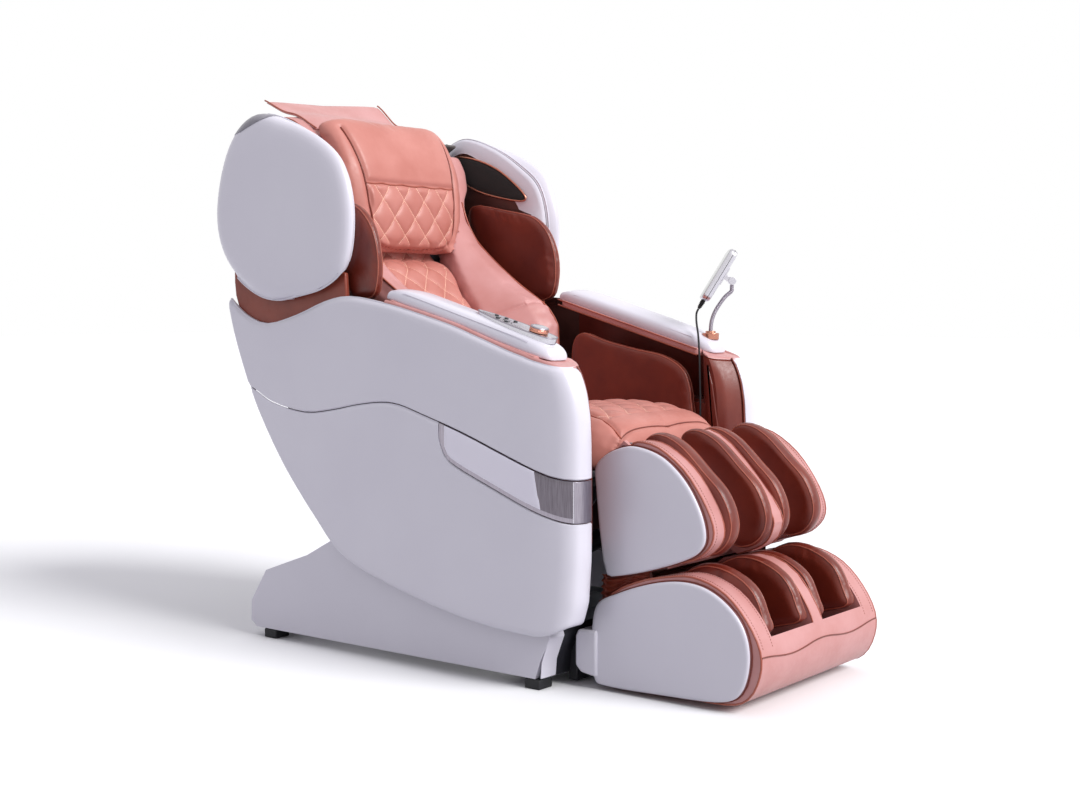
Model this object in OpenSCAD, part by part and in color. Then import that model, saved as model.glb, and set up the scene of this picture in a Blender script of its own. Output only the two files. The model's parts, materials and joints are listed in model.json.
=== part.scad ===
// Massage chair: a curved body on a floor base, a reclining back with head shells,
// a calf and foot rest that lifts, and a remote on a bendable neck.
// X runs across the chair, the sitter faces -Y and Z is up.  Lengths are millimetres.
// Outlines are side views, as [y, z] points counted from the middle of the four feet.

/* [Body] */
// Width over the side panels
body_w = 748; // [740:2:756]
// Thickness of the moulded panels
panel_t = 7; // [5:1:8]
// How far the panels wrap in at the front
wrap_w = 69; // [60:1:72]
// Length of that front wrap
wrap_l = 141; // [120:1:150]
// Gap between neighbouring panels
seam = 2.5; // [1.5:0.5:4]
// Room for a hip pad between the seat and the arm pad's inner edge
hip_room = 21; // [19:0.5:22]
// How far the floor skirt stands back from the side panels' face
skirt_in = 34; // [30:1:38]
// Height of the seat board
seat_z = 450; // [445:1:455]
// Height of the feet
foot_h = 21; // [18:1:24]
// Distance of the feet from the middle
foot_y = 400; // [390:2:405]

/* [Armrests] */
// Slope of the armrests in degrees
arm_angle = 16; // [15:0.5:17]
// Height of the arm pad's underside above the middle of the feet
arm_z = 817; // [810:1:822]
// Distance from the side panels' face to the arm pads' inner edge
arm_set = 112; // [108:1:113]
// Width of the arm pads
arm_w = 96; // [84:1:98]
// Thickness of the arm pads
arm_t = 31; // [26:1:34]
// Thickness of the leather band under the arm pads
band_t = 24; // [18:1:28]

/* [Head shells] */
// How far the head shells stand out past the side panels
shell_over = 18; // [16:1:26]
// Wall of the head shells
shell_t = 8; // [5:1:9]
// Depth of the head shells
shell_d = 42; // [38:1:46]

/* [Leg rest] */
// Width of the calf rest over its covers
calf_w = 492; // [486:2:496]
// Width of the foot rest over its covers
rest_w = 520; // [512:2:528]
// Thickness of the side covers
cover_t = 12; // [8:1:13]
// Width of the divider between the legs
divider_w = 40; // [34:2:44]
// Half the width over the outer leg pads
pad_out = 190; // [184:1:192]
// Thickness of the outer leg pads
pad_t = 40; // [32:1:44]

/* [Controls] */
// Radius of the turning knob
knob_r = 20.5; // [16:0.5:22]
// Height of the turning knob
knob_h = 13; // [10:0.5:16]
// Radius of the push buttons
button_r = 4.5; // [3.5:0.1:5]
// Travel of the push buttons
button_travel = 1.2; // [0.8:0.1:1.6]
// Length of the remote handset
remote_l = 137; // [120:1:145]
// Width of the remote handset
remote_w = 74; // [64:1:80]
// Thickness of the remote handset
remote_t = 20; // [16:1:22]
// Radius of the remote's cable
cable_r = 2.4; // [2:0.1:2.5]

/* [Motion] */
// Radius of the recline pins
hip_pin_r = 12; // [10:0.5:13]
// Radius of the calf rest's pins
knee_pin_r = 8; // [7:0.5:9]
// Radius of the tilt pins
tilt_pin_r = 10; // [8:0.5:11]
// Radius of the foot rest's slide rods
rod_r = 7; // [6:0.5:8]
// Running clearance on a radius
run = 0.06; // [0.02:0.01:0.1]
// Stroke of the foot rest
foot_stroke = 100; // [60:5:100]

/* [Hidden] */
$fn = 48;

// Colours
pearl = "#d8d5dc";
salmon = "#d8938b";
maroon = "#5f2219";
tan_band = "#8c3a2a";
copper = "#c07a62";
silver = "#b4b0b8";
steel = "#6c6f75";
black = "#1b1b20";

// The row's origin is under the middle of the whole chair, this far from the feet's middle
mid_shift = 167.6;

// Half widths
x_out = body_w / 2;
x_in = x_out - panel_t;
arm_in = x_out - arm_set;
seat_x = arm_in - hip_room;
shell_x = x_out + shell_over;
shell_in = shell_x - shell_d;
calf_x = calf_w / 2;
rest_x = rest_w / 2;
calf_wall = calf_x - cover_t - 0.5;
rest_wall = rest_x - cover_t - 0.5;
arm_out = arm_in + arm_w;
nose_x = x_out - wrap_w;
skirt_x = x_out - skirt_in;
skirt_t = 12;
clear = 0.3;

// Pivots, as [y, z]
hip = [80, 440];
knee = [-556, 502];
tilt = [60, 170];
slide_angle = 20;

// ---- helpers ----
function mix(a, b, t) = a + (b - a) * t;
function arm_at(y) = arm_z + tan(arm_angle) * y;
function mean(p) = [for (k = [0:1]) [for (q = p) q[k]] * [for (q = p) 1] / len(p)];
// A point of the smooth curve through a, b, c and d, between b and c
function bend(a, b, c, d, t) =
    0.5 * (2 * b + (c - a) * t + (2 * a - 5 * b + 4 * c - d) * t * t + (3 * b - a - 3 * c + d) * t * t * t);
// Smooth closed curve through the points p, with n steps between neighbours
function closed(p, n = 3) = [
    for (i = [0:len(p) - 1]) for (k = [0:n - 1])
        bend(p[(i + len(p) - 1) % len(p)], p[i], p[(i + 1) % len(p)], p[(i + 2) % len(p)], k / n)
];
// Smooth open curve through the points p
function open(p, n = 3) = concat([
    for (i = [0:len(p) - 2]) for (k = [0:n - 1])
        bend(p[max(i - 1, 0)], p[i], p[i + 1], p[min(i + 2, len(p) - 1)], k / n)
], [p[len(p) - 1]]);
function reversed(p) = [for (i = [len(p) - 1:-1:0]) p[i]];
function moved(p, dy, dz) = [for (q = p) q + [dy, dz]];
// The outline p drawn in by d towards its middle
function drawn_in(p, d) = let (c = mean(p)) [for (q = p) q + d * (c - q) / norm(c - q)];
// The outline p as a ring of 3D points at x
function ring(p, x) = [for (q = p) [x, q[0], q[1]]];

// Puts a piece laid out from the feet's middle into the row's frame
module chair() translate([0, mid_shift, 0]) children();
// A plate with the side view p from x0 to x1
module plate(p, x0, x1)
    translate([x0, 0, 0]) rotate([90, 0, 90]) linear_extrude(x1 - x0) polygon(p);
// A round bar along X at the side-view point c
module bar(c, r, x0, x1)
    translate([x0, c[0], c[1]]) rotate([0, 90, 0]) cylinder(r = r, h = x1 - x0);
module block(lo, hi) translate(lo) cube(hi - lo);
module both() { children(); mirror([1, 0, 0]) children(); }
module side(s) { if (s > 0) children(); else mirror([1, 0, 0]) children(); }
// A closed solid through rings that run towards +X, or in any order that turns the same way
module skin(rings) {
    n = len(rings[0]);
    m = len(rings);
    polyhedron(
        points = [for (r = rings) each r],
        faces = concat(
            [[for (i = [0:n - 1]) i]],
            [for (j = [0:m - 2]) for (i = [0:n - 1]) each [
                [j * n + i, (j + 1) * n + i, (j + 1) * n + (i + 1) % n],
                [j * n + i, (j + 1) * n + (i + 1) % n, j * n + (i + 1) % n]]],
            [[for (i = [n - 1:-1:0]) (m - 1) * n + i]]));
}
// A soft pad with the side view p, fullest in its middle, its two faces hollowed by dish
module puff(p, x0, x1, in = 9, steps = [0, 0.12, 0.35, 0.65, 0.88, 1], dish = 1.5) {
    function fall(t) = pow(abs(2 * t - 1), 3);
    hub = let (c = mean(p)) [for (q = p) c + 8 * (q - c) / norm(q - c)];
    skin(concat(
        [ring(hub, x0 + dish)],
        [for (t = steps) ring(drawn_in(p, in * fall(t)), mix(x0, x1, t))],
        [ring(hub, x1 - dish)]));
}
// A cushion lofted along stations [y, z, normal y, normal z, half width, thickness]
module cushion(stations, cols, dent) {
    skin([for (j = [0:len(stations) - 1]) let (s = stations[j])
        [for (i = [0:len(cols) - 1])
            let (u = cols[i], full = pow(max(0, 1 - pow(abs(u), 5)), 0.4),
                 h = s[5] * full - (full > 0.5 ? dent(i, j) : 0))
            [u * s[4], s[0] + s[2] * h, s[1] + s[3] * h]]]);
}
// A tube swept along 3D points
module tube(p, r, sides = 10) {
    function along(i) = let (d = p[min(i + 1, len(p) - 1)] - p[max(i - 1, 0)]) d / norm(d);
    skin([for (i = [0:len(p) - 1])
        let (t = along(i), c = cross(t, [1, 0, 0]), a = c / norm(c), b = cross(t, a))
        [for (k = [0:sides - 1]) p[i] + r * (cos(360 * k / sides) * a + sin(360 * k / sides) * b)]]);
}

// ---- outlines ----
body_top = open([[492, 812], [440, 774], [365, 753], [265, 774], [175, 804], [97, 816],
    [0, arm_at(0) - 18], [-200, arm_at(-200) - 20], [-400, arm_at(-400) - 21], [-455, 667], [-495, 664]]);
body_front = open([[-495, 664], [-516, 620], [-534, 520], [-541, 400], [-541, 280], [-536, 190],
    [-520, 145]]);
body_low = open([[-480, 124], [-415, 119], [-268, 129], [-90, 163], [108, 222], [200, 300],
    [309, 420], [393, 543], [434, 626], [471, 715], [493, 790]]);
body_side = concat(body_top, [for (i = [1:len(body_front) - 1]) body_front[i]], body_low);
panel_seam = open([[600, 660], [425, 605], [350, 571], [240, 551], [150, 560], [75, 574], [0, 583],
    [-56, 580], [-119, 563], [-235, 529], [-369, 482], [-468, 450], [-545, 443], [-650, 443]]);
band_low = open([[-172, 600], [-173, 520], [-190, 478], [-225, 454], [-317, 418], [-422, 379],
    [-494, 360], [-545, 356], [-650, 356]]);
function above(p) = concat(p, [[-650, 1400], [600, 1400]]);
function below(p) = concat(p, [[-650, -100], [600, -100]]);

shell_side = closed([[529, 1010], [508, 1115], [460, 1198], [385, 1238], [290, 1217], [190, 1181],
    [112, 1124], [78, 1040], [76, 945], [100, 872], [160, 832], [236, 814], [308, 807], [380, 818],
    [455, 860], [510, 925]], 2);
fairing_side = [[150, 600], [110, 800], [115, 868], [190, 878], [400, 876], [428, 866], [450, 850],
    [462, 856], [486, 880], [486, 850], [482, 818], [452, 740], [400, 620]];
shoulder_side = closed([[325, 1058], [200, 1046], [95, 1020], [33, 970], [8, 902], [14, 838],
    [45, 806], [150, 806], [290, 880], [335, 990]], 2);
hip_side = closed([[-60, 700], [-92, 731], [-160, 714], [-250, 696], [-340, 678], [-398, 640],
    [-417, 570], [-405, 500], [-230, 480], [-68, 500], [-58, 600]], 2);

calf_side = open([[-505, 440], [-506, 465], [-525, 492], [-565, 508], [-605, 508], [-660, 490], [-712, 446],
    [-748, 388], [-760, 338], [-745, 308], [-713, 289], [-654, 267], [-584, 247], [-522, 232]]);
calf_rim = open([[-568, 506], [-590, 519], [-640, 510], [-700, 470], [-745, 415], [-771, 362],
    [-768, 325], [-738, 295], [-700, 281]]);
calf_floor = open([[-674, 272], [-690, 320], [-668, 390], [-625, 445], [-578, 478]]);
calf_pad_side = closed([[-572, 512], [-605, 538], [-660, 521], [-719, 471], [-765, 425], [-790, 370],
    [-785, 326], [-756, 294], [-716, 291], [-694, 350], [-640, 448]], 2);
divider_side = closed([[-575, 512], [-605, 528], [-660, 500], [-730, 430], [-780, 365], [-783, 330],
    [-760, 297], [-700, 272], [-670, 300], [-672, 340], [-612, 452]], 2);

foot_side = closed([[-497, 165], [-549, 203], [-640, 236], [-717, 248], [-780, 237], [-835, 200],
    [-863, 155], [-869, 100], [-850, 42], [-800, 18], [-670, 12], [-530, 10], [-497, 30]], 3);
foot_rim = closed([[-520, 178], [-590, 230], [-690, 256], [-750, 256], [-810, 232], [-858, 185],
    [-888, 130], [-888, 80], [-862, 32], [-810, 14], [-670, 13], [-540, 14], [-512, 40]], 3);
foot_pad_side = closed([[-648, 120], [-655, 232], [-700, 271], [-750, 278], [-800, 264], [-840, 234],
    [-864, 185], [-869, 152], [-800, 126], [-720, 97]], 2);
foot_well = [[-590, 52], [-840, 127], [-872, 146], [-900, 158], [-900, 320], [-575, 320], [-575, 70]];
foot_divider = closed([[-640, 120], [-640, 240], [-700, 268], [-765, 268], [-822, 238], [-868, 175],
    [-886, 125], [-860, 110], [-740, 80]], 2);

skirt_side = [[-408, 22], [446, 22], [466, 36], [464, 85], [412, 163], [270, 213], [165, 268], [108, 238],
    [7, 202], [-90, 176], [-183, 156], [-300, 140], [-443, 130], [-447, 112], [-421, 60]];
skirt_rear = [[458, 40], [466, 36], [464, 85], [412, 163], [405, 157], [456, 82]];

// ================= base =================
module base_frame() chair() color(steel) {
    tube_h = 40;
    both() block([190, -420, foot_h], [230, 420, foot_h + tube_h]);
    block([skirt_t - skirt_x, -420, foot_h], [skirt_x - skirt_t, -380, foot_h + tube_h]);
    block([skirt_t - skirt_x, 380, foot_h], [skirt_x - skirt_t, 420, foot_h + tube_h]);
    block([-190, 30, foot_h], [190, 70, foot_h + tube_h]);
}
inlet_x = [70, 104];
module base_skirt() chair() color(pearl) difference() {
    union() {
        both() plate(skirt_side, skirt_x - skirt_t, skirt_x);
        plate(skirt_rear, skirt_t - skirt_x, skirt_x - skirt_t);
    }
    block([inlet_x[0] - clear, 440, 46 - clear], [inlet_x[1] + clear, 480, 72 + clear]);
    block([112 - clear, 440, 48 - clear], [132 + clear, 480, 70 + clear]);
}
module base_front_cover() chair() color(black) difference() {
    block([-240, -443, 5], [240, -420, 112]);
    block([-234, -437, 0], [234, -419, 106]);
}
module feet() chair() color(black) both() for (y = [-foot_y, foot_y])
    block([skirt_x - 44, y - 20, 0], [skirt_x, y + 20, foot_h]);
module power_box() chair() color("#3a3d42") difference() {
    union() {
        block([50, 420, 26], [150, 455, 79]);
        block([inlet_x[0], 450, 46], [inlet_x[1], 464, 72]);
        block([112, 450, 48], [132, 464, 70]);
    }
    block([inlet_x[0] + 5, 452, 51], [inlet_x[1] - 5, 480, 67]);
    block([115, 449, 50.5], [129, 480, 67.5]);
}
module power_switch() chair() color("#8c1616") {
    bar([458, 59], 7.5, 115.4, 128.6);
    block([115.4, 459, 59], [128.6, 466.5, 65]);
}

// ================= tilting and sliding carriage =================
module slide_carriage() chair() color(steel) {
    top = foot_h + 40;
    difference() {
        union() {
            both() {
                block([190, -200, top + 5], [200, 330, top + 50]);
                for (y = [-190, 300]) block([190, y, top], [228, y + 30, top + 8]);
                plate([[15, 105], [105, 105], [82, tilt[1] + 15], [38, tilt[1] + 15]], 190, 200);
            }
            block([-190, -200, top + 10], [190, -172, top + 40]);
            block([-190, 302, top + 10], [190, 330, top + 40]);
        }
        bar(tilt, tilt_pin_r + run, -300, 300);
    }
}
// ================= chassis =================
frame_in = 88;
frame_x = x_out - frame_in;
module seat_frame() chair() color(steel) {
    both() {
        // side plate, with the lug that the back turns on
        plate([[-470, 424], [-440, 400], [-120, 330], [10, 150], [60, 148], [85, 165], [110, 300],
            [112, 455], [95, 474], [60, 474], [20, seat_z - 8], [-478, seat_z - 8]], frame_x, frame_x + 8);
        // strut to the lower rear cover
        plate([[100, 298], apron_end(-50), apron_end(-44), [100, 318]], frame_x, frame_x + 8);
        // hip pin and tilt pin
        bar(hip, hip_pin_r, frame_x - 20, frame_x);
        bar(tilt, tilt_pin_r, 189, frame_x + 1);
        // tab that carries the side band
        block([frame_x, -395, seat_z - 10], [x_in, -355, seat_z]);
        // knee arm that runs under the seat's front and up inside the calf rest
        plate([[-440, seat_z - 12], [-572, seat_z - 26], [-574, knee[1]], [-566, knee[1] + 12],
            [-546, knee[1] + 12], [-541.5, knee[1]], [-541.5, seat_z - 10], [-440, seat_z - 2]], 211, 221);
        bar(knee, knee_pin_r, 214, 233);
    }
    // seat board and cross bars
    block([-frame_x, -480, seat_z - 10], [frame_x, -60, seat_z]);
    block([-x_in, -250, 372], [x_in, -222, 396]);
    block([-frame_x, -12, 200], [frame_x, 12, 224]);
}
// Plan view of the panels' wrap, drawn in by d
function wrap(d) = [for (a = [0:9:90])
    [nose_x + (wrap_w - d) * cos(a), -541 + wrap_l - (wrap_l - d) * sin(a)]];
module plan_wall(z0, z1) translate([0, 0, z0]) linear_extrude(z1 - z0)
    polygon(concat([[x_in, 520], [x_out, 520]], wrap(0), reversed(wrap(panel_t))));
module side_wall() intersection() {
    plate(body_side, 250, 420);
    plan_wall(90, 860);
}
module side_upper(s) chair() side(s) color(pearl) difference() {
    side_wall();
    plate(below(moved(panel_seam, 0, seam / 2)), 240, 430);
}
module side_lower(s) chair() side(s) color(pearl) difference() {
    side_wall();
    plate(above(moved(panel_seam, 0, -seam / 2)), 240, 430);
    plate(above(moved(band_low, -seam / 2, -seam / 2)), 240, 430);
}
module side_bands() chair() color(silver) both() difference() {
    intersection() {
        side_wall();
        plate(above(moved(band_low, -seam / 2, seam / 2)), 240, 430);
    }
    plate(above(moved(panel_seam, 0, -seam / 2)), 240, 430);
}
module arm_bands() chair() color(salmon) both() intersection() {
    plate(concat([[-8, arm_at(-8) - 6], [-8, arm_at(-8) - band_t]],
        open([[-380, arm_at(-380) - band_t], [-450, arm_at(-450) - band_t], [-470, 656], [-484, 658],
            [-486, 670], [-470, arm_at(-470) - 6.5], [-440, arm_at(-440) - 6.2]])), arm_in - 5, x_in);
    // kept inside the wrapped side panels
    translate([0, 0, 500]) linear_extrude(500)
        polygon(concat([[0, 520], [x_in, 520]], wrap(panel_t + clear), [[0, -530]]));
}
module arm_blank() {
    // rounded bar cut to a rounded plan
    intersection() {
        translate([0, 0, arm_z]) rotate([arm_angle, 0, 0]) rotate([90, 0, 0]) translate([0, 0, -60])
            linear_extrude(620) polygon(concat([[arm_out - 4, -5.5], [arm_in + 4, -5.5]],
                open([[arm_in, 0], [arm_in + 1, arm_t * 0.55], [arm_in + 10, arm_t - 3],
                    [arm_in + arm_w * 0.5, arm_t], [arm_out - 12, arm_t - 4],
                    [arm_out - 1, arm_t * 0.5], [arm_out, 0]], 3)));
        translate([0, 0, 500]) linear_extrude(500) polygon(concat([[arm_out, -6], [arm_in, -6]],
            open([[arm_in, -6], [arm_in, -400], [arm_in + 4, -435], [arm_in + 22, -457],
                [arm_in + 52, -464], [arm_out - 16, -455], [arm_out - 3, -430], [arm_out, -390],
                [arm_out, -6]], 3)));
    }
}
// A point on the arm pad's sloping top, h above its underside
module on_arm(x, y, h) translate([x, y, arm_at(y)]) rotate([arm_angle, 0, 0]) translate([0, 0, h]) children();
island_y = -325;
island_top = arm_t + 4;
module island_plan(grow) polygon(closed([[0, 106 + grow], [-20 - grow, 60], [-26 - grow, 0],
    [-26 - grow, -70],
    [-16, -100 - grow], [10, -104 - grow], [25 + grow, -80], [27 + grow, 0], [18 + grow, 60]], 3));
module arm_pad(s) chair() side(s) color(pearl) difference() {
    arm_blank();
    if (s < 0) on_arm(arm_in + arm_w / 2, island_y, arm_t - 10) linear_extrude(40) island_plan(clear);
    if (s > 0) translate([escutcheon_x, escutcheon_y, arm_at(escutcheon_y) + arm_t - 12])
        cylinder(r = 20 + clear, h = 60);
}
knob_y = -62;
button_spots = [[-9, 62], [-13, 38], [-15, 14], [9, 44], [12, 18]];
// The island's own frame, h above its underside
module on_island(h) on_arm(arm_in + arm_w / 2, island_y, arm_t - 10 + h) children();
island_h = island_top - arm_t + 10;
module control_island() chair() side(-1) color(silver) on_island(0) difference() {
    linear_extrude(island_h) island_plan(0);
    translate([0, knob_y, 2]) cylinder(r = 5 + run, h = 40);
    for (p = button_spots) translate([p[0], p[1], 5]) cylinder(r = button_r + clear, h = 40);
}
module knob() chair() side(-1) color(copper) on_island(island_h + clear) translate([0, knob_y, 0]) {
    cylinder(r = knob_r, h = knob_h - 3);
    cylinder(r = knob_r - 2.5, h = knob_h);
    translate([0, 0, -10]) cylinder(r = 5, h = 11);
}
module button(i) chair() side(-1) color(black) on_island(5 + button_travel + clear)
    translate([button_spots[i][0], button_spots[i][1], 0]) cylinder(r = button_r, h = 10);
module arm_inners() chair() color(maroon) both() {
    // outer wall of the forearm space, its floor, the inner wall below it and the front panel
    plate([[-8, arm_at(-8) - band_t], [-8, 462], [-450, 462], [-450, arm_at(-450) - band_t]],
        arm_out - 8, arm_out - 2);
    plate([[-8, 596], [-8, 584], [-485, 560], [-487, 572]], arm_in + 14, arm_out - 8);
    plate([[-8, 590], [-8, seat_z], [-512, seat_z], [-512, 540], [-488, 566]], arm_in + 3, arm_in + 14);
    plate([[-484, 657], [-505, 612], [-520, 520], [-528, 400], [-528, 300], [-516, 300], [-516, 400],
        [-508, 520],
        [-493, 608], [-472, 653]], arm_in - 10, nose_x - clear);
}
module hip_pads() chair() color(maroon) both() puff(hip_side, seat_x + 2.5, arm_in + 2.7, 10);
seat_cols = concat([-1, -0.985, -0.93, -0.8, -0.66], [for (k = [-8:8]) k * 15 / seat_x],
    [0.66, 0.8, 0.93, 0.985, 1]);
// Depth of the diamond stitching at column i of row j
function quilt(i, j, mid, cell, depth) =
    ((i + j - mid) % cell == 0 || (i - j + 60 * cell - mid) % cell == 0) ? depth : 0;
// Half the seat cushion's width, narrower where the calf rest's covers pass it
function seat_half(y) =
    mix(calf_wall - 3, seat_x, min(1, max(0, (y + 505) / 40))) - 6 * sin(180 * (y + 538) / 468);
module seat_cushion() chair() color(salmon) {
    heights = [[-538, 26], [-533, 58], [-520, 82], [-490, 101], [-450, 114], [-400, 122], [-324, 126],
        [-270, 122], [-194, 110], [-116, 96], [-90, 88], [-76, 66], [-70, 30]];
    rows = concat([-70, -73, -78], [for (k = [0:29]) -90 - 15 * k], [-533, -538]);
    cushion([for (y = rows) [y, seat_z, 0, 1, seat_half(y), lookup(y, heights)]], seat_cols,
        function (i, j) i < 5 || i > 21 || j < 3 || j > 30 ? 0
            : i == 5 || i == 21 ? 9 : quilt(i, j, 13, 4, 6));
}
module air_pump() chair() color("#4a4d52") {
    block([-150, -180, 300], [-30, -60, 371]);
    for (x = [-120, -90, -60]) bar([-70, 380], 8, x - 8, x + 8);
    block([-160, -230, 363], [-20, -60, 371.8]);
}
// An apron round the hip pivot, which the back's own cover sweeps over
apron_r = 180;
apron_t = 5;
function apron_end(a) = hip + (apron_r - apron_t) * [cos(a), sin(a)];
function apron(r, low) = [for (a = [4:-6:low]) hip + r * [cos(a), sin(a)]];
module lower_rear_cover() chair() color("#55504f") {
    narrow = skirt_x - skirt_t - 3;
    plate(concat(apron(apron_r, -74), [[110, 226], [104, 226]], reversed(apron(apron_r - apron_t, -74))),
        -narrow, narrow);
    plate(concat(apron(apron_r, -38), reversed(apron(apron_r - apron_t, -38))), -350, 350);
}
// ---- actuators: barrel on the seat frame, rod to the moving frame ----
module ram(from, to, r) let (d = to - from)
    translate([0, from[0], from[1]]) rotate([-atan2(d[0], d[1]), 0, 0]) cylinder(r = r, h = norm(d));
recline_from = [-230, 330];
recline_eye = [110, 370];
recline_dir = (recline_eye - recline_from) / norm(recline_eye - recline_from);
ram_x = 40;
module barrel(from, to) difference() {
    ram(from, to, 22);
    ram(from + 8 * (to - from) / norm(to - from), to + (to - from), 10 + run);
}
module actuator_barrels() chair() color(black) {
    translate([ram_x, 0, 0]) {
        barrel(recline_from, recline_from + 190 * recline_dir);
        block([-12, -262, 336], [12, -225, 372]);
    }
    translate([-ram_x, 0, 0]) {
        barrel(leg_from, leg_from + 150 * leg_dir);
        block([-12, -272, 215], [12, -240, 372]);
    }
}
module recline_rod() chair() color(steel) translate([ram_x, 0, 0]) difference() {
    union() {
        ram(recline_from + 75 * recline_dir, recline_eye - 14 * recline_dir, 10);
        bar(recline_eye, 20, -6, 6);
    }
    bar(recline_eye, 12, -8, 8);
}
leg_from = [-262, 234];
leg_end = [-488, 333];
leg_dir = (leg_end - leg_from) / norm(leg_end - leg_from);
module leg_rod() chair() color(steel) translate([-ram_x, 0, 0]) {
    ram(leg_from + 20 * leg_dir, leg_end, 10);
    bar(leg_end, 12, -14, 14);
}

// ---- remote ----
escutcheon_x = arm_in + 50;
escutcheon_y = -424;
neck_top = [escutcheon_x + 34, -461, 852];
remote_turn = 38;
remote_lean = 31;
module remote_escutcheon() chair() color(copper)
    translate([escutcheon_x, escutcheon_y, arm_at(escutcheon_y) + arm_t - 12]) difference() {
        union() { cylinder(r = 20, h = 15); cylinder(r = 12, h = 20); }
        translate([0, 0, 10]) cylinder(r = 5.05, h = 20);
    }
module gooseneck() chair() color(silver) {
    z0 = arm_at(escutcheon_y) + arm_t - 2;
    translate([escutcheon_x, escutcheon_y, z0]) cylinder(r = 5, h = 12);
    tube(open([[escutcheon_x, escutcheon_y, z0 + 6], [escutcheon_x + 1, escutcheon_y - 1, z0 + 28],
        [escutcheon_x + 8, -431, 780], [escutcheon_x + 22, -447, 812], neck_top - [1, -1, 24],
        neck_top - [0.3, -0.3, 16], neck_top - [0, 0, 9.6]], 3), 4.6, 10);
}
// Local frame of the handset: X across it, Y out of its screen, Z along it
module at_remote() translate(neck_top) rotate([0, 0, remote_turn]) children();
module remote_cradle() chair() color(silver) at_remote() {
    rotate([0, 90, 0]) translate([0, 0, -11]) cylinder(r = 9, h = 22);
    rotate([remote_lean, 0, 0]) {
        block([-9, 0, -6], [9, 22, 6]);
        block([-16, 20, -22], [16, 24 - clear, 22]);
    }
}
remote_mid = -5;
module remote_handset() chair() color("#d0ced6") at_remote() rotate([remote_lean, 0, 0]) {
    grip = 16;
    translate([0, 24, remote_mid]) rotate([-90, 0, 0]) linear_extrude(remote_t) hull() {
        for (x = [-1, 1]) for (z = [-1, 1])
            translate([x * (remote_w / 2 - grip), z * (remote_l / 2 - grip)]) circle(r = grip, $fn = 32);
    }
}
// The cable's route, chosen by hand, from the handset down into the gap beside the seat
cable_route = [[297.6, -399.1, 787.2], [294, -396, 777], [288, -399, 764], [279, -406, 750],
    [269, -415, 736], [261, -422, 722], [255.5, -427, 706], [252.5, -430, 688], [251, -432, 664],
    [251, -433, 634], [251, -434, 604], [251, -435, 574], [251, -435, 544], [251, -435, 520],
    [251, -435, 502]];
module cable_relief() chair() color(black) at_remote() rotate([remote_lean, 0, 0])
    translate([0, 24 + remote_t / 2, remote_mid - remote_l / 2 - 22]) {
        cylinder(r1 = 3.4, r2 = 5.6, h = 22);
        for (z = [4, 10, 16]) translate([0, 0, z]) cylinder(r = 4.6 + z / 12, h = 2.5);
    }
module remote_cable() chair() color(black) tube(open(cable_route, 2), cable_r, 8);
module cable_gland() chair() color(black) translate([251, -435, 0]) {
    translate([0, 0, 488]) cylinder(r = 6.5, h = 14);
    block([0, -6, 490], [arm_in + 3 - 251, 6, 498]);
}

// ================= backrest =================
back_line = open([[-48, 508], [10, 590], [70, 668], [125, 735], [180, 795], [228, 848], [262, 886],
    [300, 900], [312, 950], [322, 1030], [338, 1105], [368, 1180]], 4);
rail_x = 85;
rail_dir = [sin(38), cos(38)];
rail_mid = [196, 704];
module back_frame() chair() color(steel) {
    front = [[45, 440], [100, 545], [235, 755], [335, 935], [372, 1165]];
    rear = [[412, 1165], [390, 930], [290, 735], [160, 520], [118, 420]];
    difference() {
        union() {
            both() plate(concat(front, rear, [[80, 405], [50, 415]]), frame_x - 18, frame_x - 8);
            block([18 - shell_in, 368, 1078], [shell_in - 18, 400, 1106]);
            block([18 - frame_x, 318, 900], [frame_x - 18, 366, 925]);
            block([18 - frame_x, 58, 500], [frame_x - 18, 92, 530]);
        }
        bar(hip, hip_pin_r + run, -300, 300);
    }
    both() translate([rail_x, 0, 0]) ram(rail_mid - 222 * rail_dir, rail_mid + 268 * rail_dir, 8);
    // lever for the recline rod, with its pin
    plate([[60, 505], [90, 505], [122, 376], [118, 360], [102, 360], [98, 376]], ram_x + 8, ram_x + 16);
    bar(recline_eye, 6, ram_x - 7, ram_x + 16);
}
// Stations along a curve: place, direction out of the pad, half width, thickness
function stations(line, wide, thick) = [for (i = [0:len(line) - 1])
    let (d = line[min(i + 1, len(line) - 1)] - line[max(i - 1, 0)], n = d / norm(d), t = i / (len(line) - 1))
    [line[i][0], line[i][1], -n[1], n[0], lookup(t, wide), lookup(t, thick)]];
back_cols = concat([-1, -0.97, -0.86], [for (k = [-5:5]) k / 7], [0.86, 0.97, 1]);
// Half the space between the bolsters at the height z
function bolster_gap(z) = lookup(z, [for (b = bolster_levels) [b[0], b[1]]]);
back_rows = len(back_line) - 1;
module back_pad() chair() color(salmon)
    cushion(stations(back_line, [for (i = [0:back_rows]) [i / back_rows, bolster_gap(back_line[i][1]) - 0.5]],
        [[0, 10], [0.03, 26], [0.1, 32], [0.48, 32], [0.55, 14], [0.62, 9], [1, 7]]), back_cols,
        function (i, j) i < 2 || i > 14 || j < 2 || j > 24 ? 0 : quilt(i, j, 8, 4, 5));
// Heights of the side bolsters: [z, inner x, inner front y, outer front y, back y, gap to the shells]
bolster_levels = [[508, 122, -50, -44, 40, 100], [560, 120, -32, -48, 80, 100], [620, 118, 6, -44, 120, 100],
    [690, 118, 55, -38, 165, 100], [750, 116, 100, -33, 208, 100], [800, 120, 140, 2, 238, 100],
    [850, 130, 186, 88, 268, 100], [905, 142, 232, 165, 296, 98], [955, 155, 262, 232, 318, 92],
    [1010, 168, 284, 272, 334, 80], [1062, 178, 300, 288, 344, 64], [1100, 190, 318, 308, 350, 34],
    [1150, 202, 348, 338, 364, 25.4], [1192, 208, 374, 368, 384, 28]];
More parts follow.
